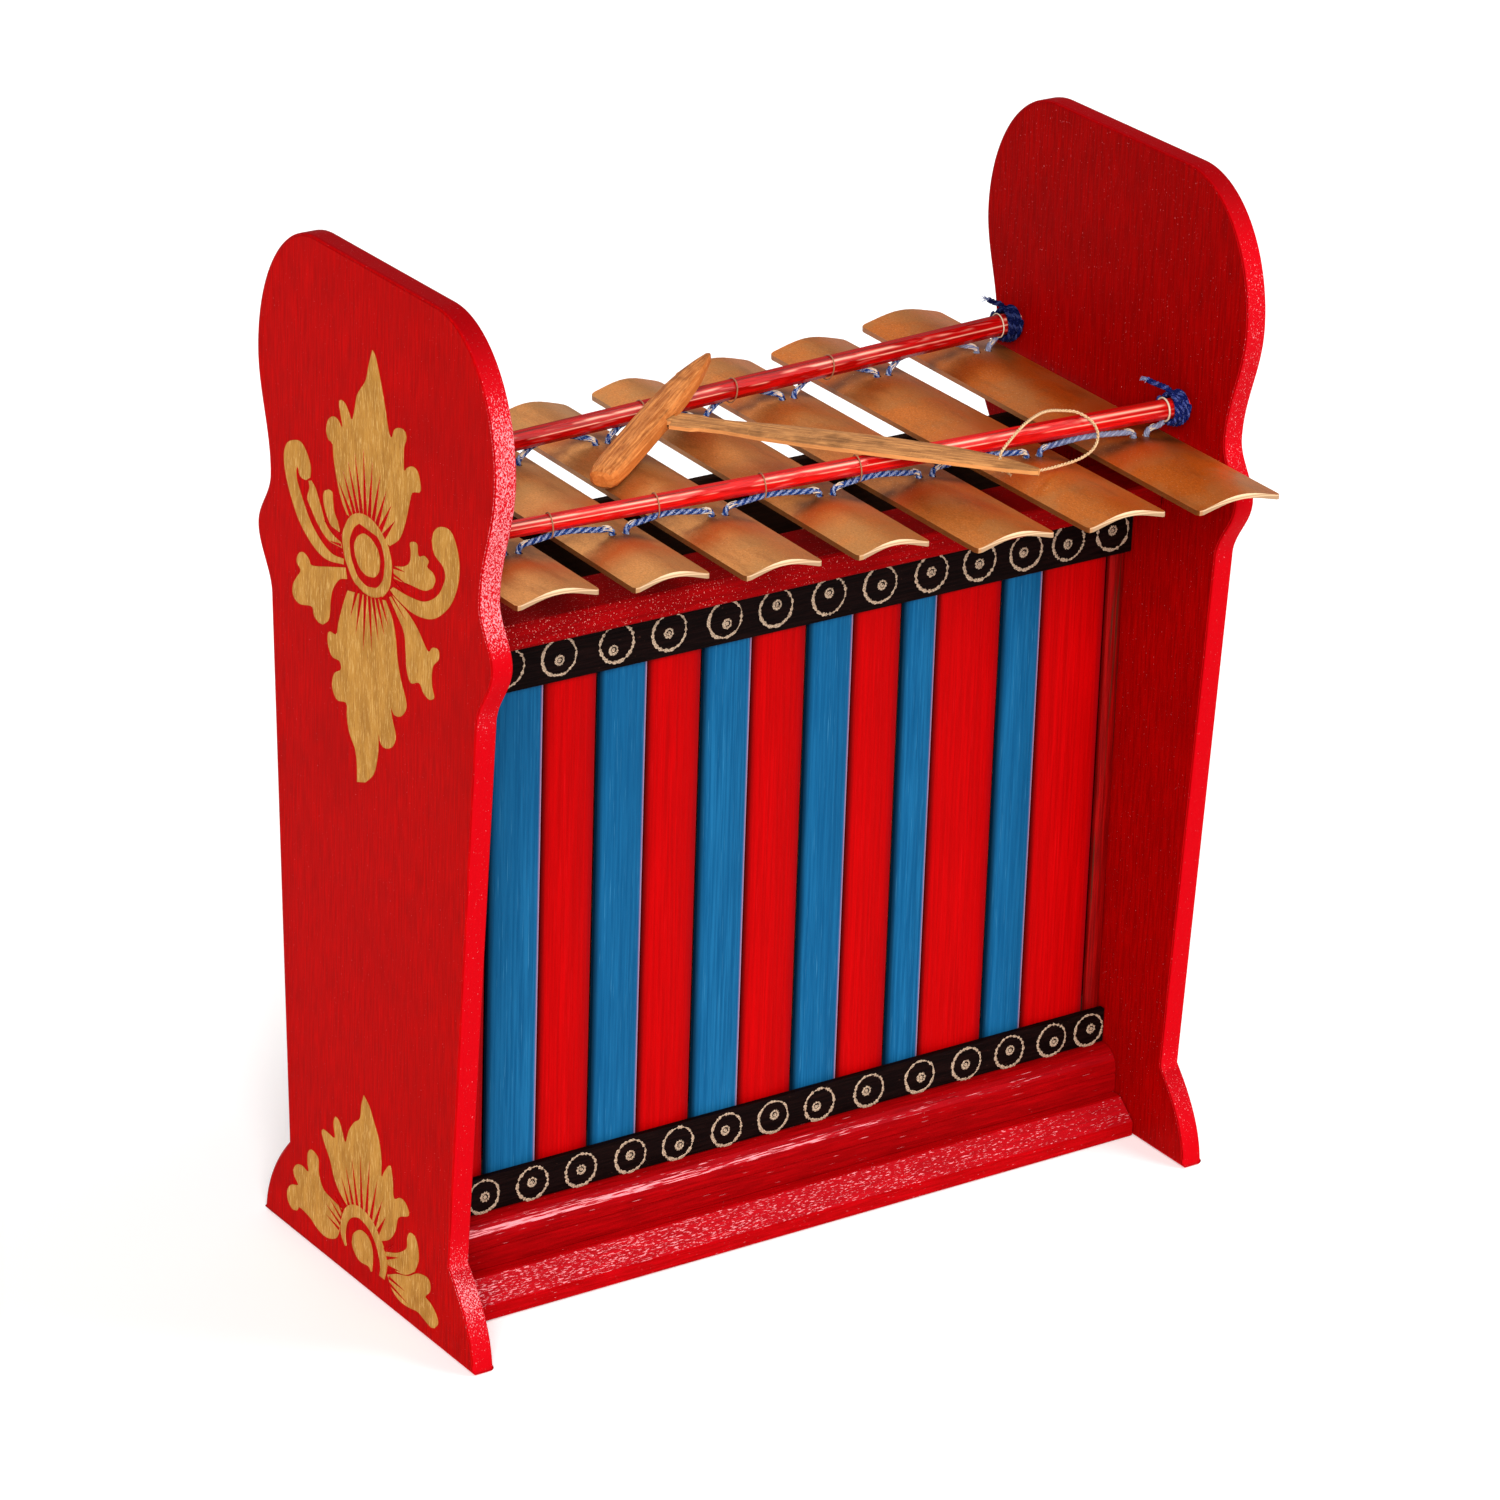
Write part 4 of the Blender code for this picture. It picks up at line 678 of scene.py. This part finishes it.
def key_finish(index):
    """Satin bronze with heat marks that follow the two cords, grain along the sheet, specks, a
    painted shadow and reflection of the rods close beside them, and sides painted darker as shade.
    On a cut end the middle of the sheet is a dark line, found by its depth under the arch."""
    metal = Finish(f"key_{index + 1}_bronze", 0.06, metallic=0.7)
    x, y, z = (metal.axis(metal.place, letter) for letter in "XYZ")
    front = y - (x * FRONT_LINE[1] + FRONT_LINE[0])
    rear = y - (x * REAR_LINE[1] + REAR_LINE[0])
    grain = metal.noise(2200, (1, 3, 1), roughness=0.65)
    blot = metal.noise(48, roughness=0.6)
    smear = metal.noise(130, (1, 4, 1), 4, 0.65)
    speck = metal.noise(1500, detail=2, roughness=0.75)
    glow = front.hill(-0.013, 0.0095) + rear.hill(0.010, 0.010) + front.hill(0.030, 0.012) * 0.7
    # A painted shadow and reflection of the rods: a dark band close beside each cord line.
    rod_shadow = front.hill(-0.0050, 0.0045) + rear.hill(0.004, 0.005) + front.hill(0.009, 0.009) * 0.9
    # cut finds the cut ends; flank_shade finds the long sides, which are painted darker as shade.
    cut, flank_shade = (metal.axis(metal.normal, letter).size().rise(low, high)
                  for letter, low, high in (("Y", 0.80, 0.95), ("X", 0.75, 0.92)))
    fresh = metal.mix(grain.rise(0.3, 0.7), (0.56, 0.225, 0.056), (0.71, 0.310, 0.082))
    old = metal.mix(grain.rise(0.3, 0.7), (0.54, 0.125, 0.009), (0.69, 0.185, 0.016))
    colour = metal.layers(fresh, (x.rise(-0.12, 0.13), old),
                          (blot.rise(0.42, 0.62) * 0.35, (0.44, 0.250, 0.085)),
                          (smear.rise(0.48, 0.70) * 0.45, (0.32, 0.095, 0.016)),
                          (glow * blot.rise(0.34, 0.60) * 0.75, (0.66, 0.120, 0.010)),
                          (rod_shadow * blot.rise(0.28, 0.62) * 0.75, (0.085, 0.028, 0.012)),
                          (speck.rise(0.63, 0.71) * 0.6, (0.72, 0.46, 0.22)),
                          (speck.rise(0.35, 0.27) * 0.6, (0.09, 0.035, 0.012)),
                          (flank_shade * 0.6, (0.12, 0.045, 0.015)))
    centre, middle, turn, half = key_lie(index)
    across = ((x - centre) * math.cos(turn) + (y - middle) * math.sin(turn)) / half
    depth = KEY_TOP - z - KEY_RISE * (across * across * 0.6 + 0.2 - (across * math.pi).math("COSINE") * 0.2)
    raw = metal.layers((0.80, 0.56, 0.34), (depth.hill(0.0012, 0.0004) * 0.65, (0.25, 0.12, 0.05)),
                       (depth.rise(0.0016, 0.0020) * 0.7, (0.20, 0.09, 0.04)))
    return metal.give(colour=metal.mix(cut, colour, raw), roughness=0.34 + blot * 0.16 - cut * 0.1,
                      height=grain * 0.3 + speck * 0.2, metallic=0.80 - cut * 0.55)


def arch(across):
    """Height of the sheet below its crown, at a share of its half width."""
    return -KEY_RISE * (0.6 * across * across + 0.2 * (1 - np.cos(np.pi * across)))


def key_sheet(index, facets=10, strips=5):
    """The key's own sheet, cut lengthwise into narrow strips inside each of its flat facets. The
    seams between them are then lifted onto the true arch, so that light runs smoothly across."""
    centre, middle, turn, half = key_lie(index)
    centre, way = Vector((centre, middle, 0)), Vector((math.cos(turn), math.sin(turn), 0))
    sheet = bmesh.new()
    sheet.from_mesh(nodes[f"key_{index + 1}"].data)
    bmesh.ops.remove_doubles(sheet, verts=sheet.verts, dist=0.000001)
    for share in np.linspace(-1, 1, facets * strips + 1)[1:-1]:
        bmesh.ops.bisect_plane(sheet, geom=sheet.verts[:] + sheet.edges[:] + sheet.faces[:], dist=0.0000001,
                               plane_co=centre + way * half * float(share), plane_no=way)
    sheet.verts.index_update()
    points = np.array([spot.co for spot in sheet.verts])
    faces = [[spot.index for spot in face.verts] for face in sheet.faces]
    sheet.free()
    share = (points - centre) @ np.array(way) / half
    creases = np.linspace(-1, 1, facets + 1)
    points[:, 2] += arch(share) - np.interp(share, creases, arch(creases))
    return points, faces


for index in range(7):
    sheet = lay(f"bronze_sheet_{index + 1}", *key_sheet(index), key_finish(index), f"key_{index + 1}")
    sheet.data.set_sharp_from_angle(angle=math.radians(35))
    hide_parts(f"key_{index + 1}")

# Rods: two bamboo rods with planed flats, thicker at the right, glossy red with a dark line
# where two flats meet and pale lines that are worn paint and a painted highlight; the rear rod is
# given darker red as painted shade. A thin thread ties the cord to each rod between some of the
# keys, the front one under its rod, the rear one below and behind it.
ROD_Z = 0.3146
SPAN_HALF = 0.1609
CORNER = 1.083
SEAM = 0.0003
RODS = {"front": ((-0.0277, -0.0459), (0.0029, 0.0037)), "rear": ((0.0408, 0.0634), (0.0034, 0.0039))}
TIE_X = {"front": (-0.1160, -0.0720, -0.0270, 0.0140), "rear": (-0.1170, -0.0250, 0.0190, 0.0660)}
TIE_R, TIE_FIT, TIE_LOW, TIE_TALL, TIE_WIDE = 0.00028, 1.09, 0.0010, 0.0014, 0.0004
CORD_LEAN = {"front": math.radians(-11), "rear": math.radians(43)}


def rod_at(side, x):
    """The middle and the half thickness of a rod at x: both run straight from end to end."""
    (y0, y1), (r0, r1) = RODS[side]
    share = (np.asarray(x) + SPAN_HALF) / (2 * SPAN_HALF)
    return y0 + (y1 - y0) * share, r0 + (r1 - r0) * share


def rod_lacquer(side, deep, bright):
    """Glossy red on planed bamboo, worn pale in lines where the flats meet, which are also a painted
    highlight, dark in the joint on top. Heights are taken as a share of the rod's half thickness
    at that place."""
    gloss = Finish(f"{side}_rod_lacquer", 0.05, coat=0.08)
    streak = gloss.noise(1300, (40, 1, 1))
    x, y, z = (gloss.axis(gloss.place, letter) for letter in "XYZ")
    (y0, y1), (r0, r1) = RODS[side]
    off = y - (x * ((y1 - y0) / (2 * SPAN_HALF)) + (y0 + y1) / 2)
    high = (z - ROD_Z) / (x * ((r1 - r0) / (2 * SPAN_HALF)) + (r0 + r1) / 2)
    broken, gaps = gloss.noise(240, (7, 1, 1), 2).rise(0.42, 0.54), gloss.noise(160, (3, 1, 1), 2)
    joint = off.size().hill(0.0014, 0.00025) * high.rise(0.4, 0.7) * gaps.rise(0.40, 0.55)
    colour = gloss.layers(deep, (streak.rise(0.3, 0.7), bright),
                          (gloss.noise(700, (26, 1, 1), 2).rise(0.60, 0.70) * 0.30, (0.80, 0.16, 0.14)),
                          # Pale lines where the flats meet: worn paint and a painted highlight.
                          ((high.hill(0.74, 0.09) + high.hill(0.30, 0.07)) * broken * 0.8,
                           (0.92, 0.46, 0.34)),
                          (joint * 0.8, (0.05, 0.012, 0.006)))
    return gloss.give(colour=colour, roughness=0.28 + streak * 0.2, height=streak)


dress(rod_lacquer("front", (0.38, 0.001, 0.001), (0.62, 0.006, 0.005)), "rod_front")
# The rear rod has darker copies of the colours: painted shade.
dress(rod_lacquer("rear", (0.22, 0.0006, 0.0006), (0.44, 0.002, 0.002)), "rod_rear")


def unit(vectors):
    """Vectors brought to a length of one."""
    return vectors / np.linalg.norm(vectors, axis=-1, keepdims=True)


def directions(path):
    """Along, side and up at each point of a path. The side is square to one fixed direction,
    the one of two hundred that the path never comes near."""
    along = unit(np.gradient(path, axis=0))
    trial = unit(np.random.default_rng(3).normal(0, 1, (200, 3)))
    fixed = trial[np.abs(along @ trial.T).max(0).argmin()]
    side = unit(np.cross(along, fixed))
    return along, side, np.cross(side, along)


def tube(path, radius, sides=8):
    """Circles of the given radius, or radii, carried along a path and closed at both ends."""
    path = np.asarray(path, float)
    along, side, up = directions(path)
    turn = np.linspace(0, 2 * np.pi, sides, endpoint=False)[None, :, None]
    radius = np.broadcast_to(radius, len(path))[:, None, None]
    points = path[:, None] + radius * (side[:, None] * np.cos(turn) + up[:, None] * np.sin(turn))
    faces = grid_faces(len(path), sides, True)[:, ::-1].tolist()
    count = len(path) * sides
    return points, [*faces, list(range(sides)), list(range(count - 1, count - sides - 1, -1))]


def rope(path, radius, plies=3, pitch=0.0045, sides=7, gap=0.0006):
    """Plies twisted round a path: each is a tube on a helix of one turn in every pitch, and
    together they fill a round cord of the given radius."""
    path = np.asarray(path, float)
    far = np.append(0, np.cumsum(np.linalg.norm(np.diff(path, axis=0), axis=1)))
    path = smooth_line(path, int(far[-1] / gap) + 8)
    far = np.linspace(0, far[-1], len(path))
    _, side, up = directions(path)
    thick = radius * {2: 0.50, 3: 0.48, 4: 0.43}[plies]
    parts = []
    for ply in range(plies):
        turn = (2 * np.pi * (far / pitch + ply / plies))[:, None]
        parts.append(tube(path + (radius - thick) * (side * np.cos(turn) + up * np.sin(turn)), thick, sides))
    return parts


thread = Finish("tie_thread", roughness=0.7)
thread_finish = thread.give(colour=thread.mix(thread.noise(900), (0.14, 0.035, 0.015), (0.42, 0.20, 0.09)))
for side, places in TIE_X.items():
    parts, lean = [], CORD_LEAN[side]
    turn = np.linspace(0, 2 * np.pi, 41)
    for x in places:
        y, r = rod_at(side, x)
        down = TIE_LOW + (r * TIE_FIT + TIE_TALL) * np.cos(turn)
        across = (r * TIE_FIT + TIE_WIDE) * np.sin(turn)
        path = np.stack([x + 0.0006 * np.sin(turn), y + down * np.sin(lean) + across * np.cos(lean),
                         ROD_Z - down * np.cos(lean) + across * np.sin(lean)], 1)
        parts.append(tube(path, TIE_R, 6))
    ties = lay(f"ties_{side}", *gather(parts), thread_finish, "frame")

# Cords: one four-ply blue cord along each rod, down and up through the holes of every key,
# so that it carries them. It has worn to white threads at the holes and faded to the right.
CORD_R = 0.001
OVER, BELOW = 0.3084, 0.3032
CORD_START = -0.1506
HOLE_MIDDLE, HOLE_APART, HOLE_BACK = 0.0025, 0.0029, 0.002
LEAD_IN = {"front": ((0, 0.5, 2.4, 5.2), (-2.0, -0.35, 0.55, 0.75), (0, 0, 0, 0)),
           "rear": ((0, 0.5, 2.4, 5.2, 9.0), (-2.0, -0.35, 0.60, 1.0, 1.65), (0, 0, 0.7, 2.6, 4.6))}


def hole_places(side):
    """Left and right hole of every key along one rod, in the key's own skewed rows."""
    rows = []
    for index in range(7):
        centre, middle, turn, _ = key_lie(index)
        for hand in (-1, 1):
            x = centre + HOLE_MIDDLE + hand * HOLE_APART
            y = float(rod_at(side, x)[0]) - HOLE_BACK
            rows.append((x - (y - middle) * math.sin(turn), y))
    return rows


def cord_route(side):
    """The cord's route: along the rod between keys, down one hole and up through the next. How
    far out, up and back it lies near a hole is in cord radii, from the mouth of the hole."""
    def under(x):
        y, r = rod_at(side, x)
        away = float(r) + SEAM + CORD_R
        return (x, float(y) + away * math.sin(CORD_LEAN[side]), ROD_Z - away * math.cos(CORD_LEAN[side]))

    holes = hole_places(side)
    points = [under(CORD_START), under(CORD_START + CORD_R)]
    for index in range(7):
        halves = []
        for (x, y), out in ((holes[2 * index], -1), (holes[2 * index + 1], 1)):
            half = [(x + out * far * CORD_R, y + back * CORD_R, OVER + up * CORD_R)
                    for far, up, back in reversed(list(zip(*LEAD_IN[side])))]
            halves.append(half + [(x, y, BELOW + 1.2 * CORD_R), (x - out * CORD_R, y, BELOW)])
        points += halves[0] + halves[1][::-1]
        if index < 6:
            points.append(under((holes[2 * index + 1][0] + holes[2 * index + 2][0]) / 2))
    return points + [under(-CORD_START - CORD_R), under(-CORD_START)]


def cotton(name, deep, bright, worn):
    """Dull blue cotton: two tones between its fibres, pale where it has rubbed, and greyed by
    the sun on the last stretch to the right, before the coil."""
    yarn = Finish(name, 0.03, 0.8)
    fluff = yarn.noise(2600, roughness=0.7)
    x, z = yarn.axis(yarn.place, "X"), yarn.axis(yarn.place, "Z")
    faded = x.rise(0.085, 0.125) * x.rise(0.1515, 0.1495) * z.rise(0.3155, 0.3135)
    colour = yarn.layers(deep, (fluff.rise(0.35, 0.7), bright),
                         (yarn.noise(1500, detail=2).rise(0.58, 0.66) * 0.5, worn),
                         (faded * 0.6, (0.27, 0.28, 0.36)))
    return yarn.give(colour=colour, height=fluff)


def hair(path, thick, steps=9):
    """One loose thread along a path, tapering to a tenth of a millimetre."""
    return tube(smooth_line(path, steps), np.linspace(thick, 0.0001, steps), 5)


cord_finish = cotton("blue_cord", (0.002, 0.005, 0.035), (0.012, 0.060, 0.30), (0.42, 0.46, 0.60))
light_finish = cotton("pale_blue_cord", (0.020, 0.060, 0.22), (0.36, 0.43, 0.60), (0.60, 0.62, 0.68))
pale = Finish("pale_thread", roughness=0.8)
pale_finish = pale.give(colour=pale.mix(pale.noise(1200), (0.42, 0.30, 0.18), (0.80, 0.70, 0.55)))

for side in RODS:
    plies = rope(smooth_line(cord_route(side), 900), 1.2 * CORD_R, 4, 0.0068)
    cord = lay(f"{side}_cord", *gather([plies[0], plies[2]]), cord_finish, "frame")
    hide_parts(f"cord_{side}")
    light_ply = lay(f"{side}_cord_light_plies", *gather([plies[1], plies[3]]), light_finish, "frame")
    parts = []
    for number, (x, y) in enumerate(hole_places(side)):
        out = 1 if number % 2 else -1
        for _ in range(5 if number % 2 else 10):
            far = np.linspace(0.7, draw.uniform(1.8, 5.0), 6)
            up, back = (np.interp(far, LEAD_IN[side][0], spots) for spots in LEAD_IN[side][1:])
            turn = draw.uniform(0.9, 3.5) + far * draw.uniform(-0.3, 0.3)
            proud = draw.uniform(1.16, 1.32)
            path = np.stack([x + out * far * CORD_R, y + (back + proud * np.cos(turn)) * CORD_R,
                             OVER + (up + proud * np.sin(turn)) * CORD_R], 1)
            parts.append(hair(path, 0.0002))
        for _ in range(2):
            swing, reach = draw.uniform(-1.2, 1.2), draw.uniform(0.0012, 0.0026)
            lift = draw.uniform(0.0001, 0.0010)
            middle = np.array([out * math.cos(swing), math.sin(swing) * 0.6, 0]) * reach
            path = np.array([(x, y, OVER - 0.0014), (x, y, OVER - 0.0004), (x, y, OVER + lift)])
            path[1:] += middle * np.array([[0.35], [0.75]])
            path = np.vstack([path, path[-1] + middle * 0.5 + (0, 0, -0.5 * lift)])
            parts.append(hair(path, 0.00022))
    frayed = lay(f"frayed_{side}", *gather(parts), pale_finish, "frame")

# Lashings: each end of each cord is wound a few times round the rod against the panel and
# tucked under itself. At the right a short twisted tail is left standing, its tip frayed. A pale
# thread ends each coil. The coils are painted a darker blue than the cord as shade in the winding,
# one ply in three paler as a painted highlight, and the rear coils, in the shade, darker still as
# painted shade.
COIL_START, COIL_STEP, COIL_TURNS, COIL_LONG = 0.0021, 0.00155, 4.1, 0.0079
BULGE, STRAP_UP, STRAP_START, STRAP_LONG, RIM_UP = 0.00055, 0.0007, 0.0004, 0.0050, 0.00055
# COIL_SHADED_CORD is a darker blue than the cord's: painted shade in the winding. COIL_PALE_HIGHLIGHT
# colours one ply in three: pale yarn with a painted highlight.
COIL_SHADED_CORD = ((0.0015, 0.002, 0.022), (0.008, 0.020, 0.17), (0.09, 0.12, 0.36))
COIL_PALE_HIGHLIGHT = ((0.008, 0.016, 0.11), (0.080, 0.115, 0.36), (0.26, 0.30, 0.52))


def around(x, y, away, turn):
    """Points round a rod whose middle lies at y, at a distance and an angle from it."""
    return np.stack(np.broadcast_arrays(x, y + away * np.cos(turn), ROD_Z + away * np.sin(turn)), 1)


# The rear coils' colours are scaled darker: painted shade.
for side, tone, rim_r, reach in (("front", 1.0, 0.0004, 1), ("rear", 0.42, 0.00026, 0.6)):
    coil_finish, coil_pale_highlight = (
        cotton(f"{name}_{side}", *(tuple(part * tone for part in blue) for blue in blues))
        for name, blues in (("coil_cord", COIL_SHADED_CORD), ("coil_pale_highlight_cord", COIL_PALE_HIGHLIGHT)))
    for end_name, out in (("left", -1), ("right", 1)):
        start = out * (SPAN_HALF - COIL_START)
        turn = np.linspace(0.7, 2 * np.pi * COIL_TURNS, 200)
        x = start - out * turn / (2 * np.pi) * COIL_STEP
        y, r = rod_at(side, x)
        ring = r * CORNER + SEAM + CORD_R + BULGE * np.sin(1.3 * turn) ** 2
        parts = rope(around(x, y, ring, turn), CORD_R * 1.1)
        over = ring.max() + STRAP_UP
        cross = np.linspace(0.2, 2.1, 40)
        x = start - out * (STRAP_START + STRAP_LONG * (cross - 0.2) / 1.9)
        parts += rope(around(x, rod_at(side, x)[0], over, cross * 1.6 + 2.4), CORD_R * 0.95)
        if out > 0:
            root = np.array([start - 0.0050, float(rod_at(side, start)[0]) + 0.001, ROD_Z + over])
            tail = np.array([(0.0016, 0, -0.0010), (-0.0010, 0.0003, 0.0014),
                             (-0.0036 * reach, 0.0006, 0.0028 * reach),
                             (-0.0068 * reach, 0.0010, 0.0044 * reach),
                             (-0.0100 * reach, 0.0016, 0.0062 * reach)])
            parts += rope(root + tail, CORD_R * 1.2, pitch=0.0048)
        coil = lay(f"{end_name}_coil_{side}", *gather(parts[0::3] + parts[1::3]), coil_finish, "frame")
        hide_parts(f"lashing_{side}_{end_name}")
        light_ply = lay(f"{end_name}_coil_light_ply_{side}", *gather(parts[2::3]), coil_pale_highlight, "frame")
        turn = np.linspace(0, 2 * np.pi, 41)
        x = start - out * COIL_LONG
        y, r = rod_at(side, x)
        rim_line = around(x + out * 0.0004 * np.cos(turn), y, r * CORNER + RIM_UP, turn)
        rim = lay(f"{end_name}_rim_{side}", *tube(rim_line, rim_r, 6), pale_finish, "frame")
    parts = []
    for _ in range(14):
        aim = np.array([-1.0, 0.15, 0.25]) + draw.normal(0, 0.35, 3)
        first = root + tail[-1] + draw.normal(0, 0.0003, 3) + (0.0008, 0, 0)
        path = np.array([first, first + aim * 0.0012, first + aim * 0.0021 + draw.normal(0, 0.0003, 3)])
        parts.append(hair(path, 0.00024, 7))
    tip = lay(f"frayed_tip_{side}", *gather(parts), light_finish, "frame")

# Mallet: a head cut from one block, blunt in front and pointed behind, on a flat handle let
# through it. Bare oiled wood, darker where it was held and pale along the sawn side.
HEAD_TURN, HANDLE_TURN = math.radians(31.5), math.radians(37.5)
HEAD_AXIS = (math.cos(HEAD_TURN), math.sin(HEAD_TURN), 0.195)
HANDLE_AXIS = (math.sin(HANDLE_TURN), -math.cos(HANDLE_TURN), -0.02)


def timber(name, axis, deep, bright, sawn):
    """Wood with its grain along an axis: streaks, a few dark pores, and paler upright sides."""
    wood = Finish(name, 0.06, coat=0.05)
    first = Vector(axis).normalized()
    second = first.cross(Vector((0, 0, 1))).normalized()
    turned = {number: wood.node("ShaderNodeVectorMath", {"operation": "DOT_PRODUCT"},
                                {0: wood.place, 1: tuple(way)}, "Value")
              for number, way in enumerate((first, second, first.cross(second)))}
    wood.place = wood.node("ShaderNodeCombineXYZ", None, turned)
    streak = wood.noise(1000, (14, 1, 1), 4, 0.65)
    pore = wood.noise(1900, (14, 1, 1), 2)
    colour = wood.layers(deep, (streak.rise(0.3, 0.72), bright),
                         (wood.noise(170, (6, 1, 1)).rise(0.48, 0.70) * 0.35, deep),
                         (wood.noise(75).rise(0.50, 0.66) * 0.5, tuple(part * 0.5 for part in deep)),
                         (pore.rise(0.60, 0.70) * 0.6, tuple(part * 0.35 for part in deep)),
                         (wood.axis(wood.normal, "Z").size().rise(0.75, 0.4) * 0.6, sawn),
                         (wood.noise(1500, (1, 7, 2), 2).rise(0.60, 0.70) * 0.3, bright))
    return wood.give(colour=colour, roughness=0.5 + streak * 0.2, height=streak * 0.7 + pore * 0.6)


for name, axis, *tones in (
        ("head", HEAD_AXIS, (0.28, 0.075, 0.015), (0.62, 0.235, 0.065), (0.58, 0.165, 0.030)),
        ("handle", HANDLE_AXIS, (0.24, 0.095, 0.030), (0.60, 0.270, 0.090), (0.76, 0.32, 0.10))):
    dress(timber(f"{name}_wood", axis, *tones), f"mallet_{name}")

# Twine loop: two-ply twine through the eye near the handle's end, tied into a loop to hang
# the mallet by. The knot sits against the handle, whose place is worked out as the solid's is.
TWINE_R = 0.00065
LOOP_REACH = 0.06
JOINT_X, JOINT_Y = -0.0284, 0.0345
HEAD_HALF_T, HEAD_REST, HEAD_TILT = 0.0046, 0.0227, math.radians(11.25)
EYE_FAR, REST_FAR, HANDLE_HALF_T = 0.89 * 0.152, 0.09, 0.0014
rear_top = ROD_Z + float(rod_at("rear", 0)[1]) + SEAM
joint_z = rear_top + 0.74 * HEAD_HALF_T - HEAD_REST * math.sin(HEAD_TILT)
rest_x = JOINT_X + REST_FAR * math.sin(HANDLE_TURN)
rise = math.asin((ROD_Z + float(rod_at("front", rest_x)[1]) + HANDLE_HALF_T + SEAM - joint_z) / REST_FAR)
eye = np.array([JOINT_X + EYE_FAR * math.cos(rise) * math.sin(HANDLE_TURN),
                JOINT_Y - EYE_FAR * math.cos(rise) * math.cos(HANDLE_TURN),
                joint_z + EYE_FAR * math.sin(rise)])
clear = (HANDLE_HALF_T + SEAM + TWINE_R) / LOOP_REACH
loop_route = eye + LOOP_REACH * np.array([
    (0, 0, -1.2 * clear), (0, 0, clear), (0.033, 0.020, 1.7 * clear), (0.133, 0.083, 0.090),
    (0.300, 0.183, 0.120), (0.483, 0.300, 0.112), (0.658, 0.408, 0.078), (0.817, 0.475, 0.030),
    (0.933, 0.467, 0.000), (1.0, 0.400, -0.050), (0.992, 0.317, -0.107), (0.917, 0.250, -0.163),
    (0.783, 0.208, -0.195), (0.600, 0.187, -0.205), (0.417, 0.167, -0.197), (0.267, 0.133, -0.163),
    (0.150, 0.083, -0.110), (0.058, 0.030, -0.070)])
loop_line = smooth_line(loop_route, 160)

hemp = Finish("twine", roughness=0.8)
fluff = hemp.noise(1800, roughness=0.7)
colour = hemp.mix(fluff.rise(0.3, 0.7), (0.36, 0.20, 0.08), (0.76, 0.54, 0.31))
hemp_finish = hemp.give(colour=colour, height=fluff)
loop = lay("hanging_loop", *gather(rope(loop_line, TWINE_R, 2, 0.0034, 8, 0.0004)), hemp_finish, "mallet")
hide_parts("mallet_loop")

turn = np.linspace(0, 2 * np.pi, 81)
knot_line = (loop_route[0] + loop_route[-1]) / 2 + 0.00052 * np.stack(
    [np.sin(turn) + 2 * np.sin(2 * turn), np.cos(turn) - 2 * np.cos(2 * turn), -1.3 * np.sin(3 * turn)], 1)
parts = rope(knot_line, TWINE_R * 0.9, 2, 0.003, 7, 0.0004)
for reach in ((0.0034, -0.0022, -0.0012), (0.0012, -0.0036, -0.0016)):
    parts += rope(knot_line[0] + np.outer((0, 0.35, 0.7, 1), reach), TWINE_R * 0.8, 2, 0.003, 7, 0.0004)
knot = lay("loop_knot", *gather(parts), hemp_finish, "mallet")
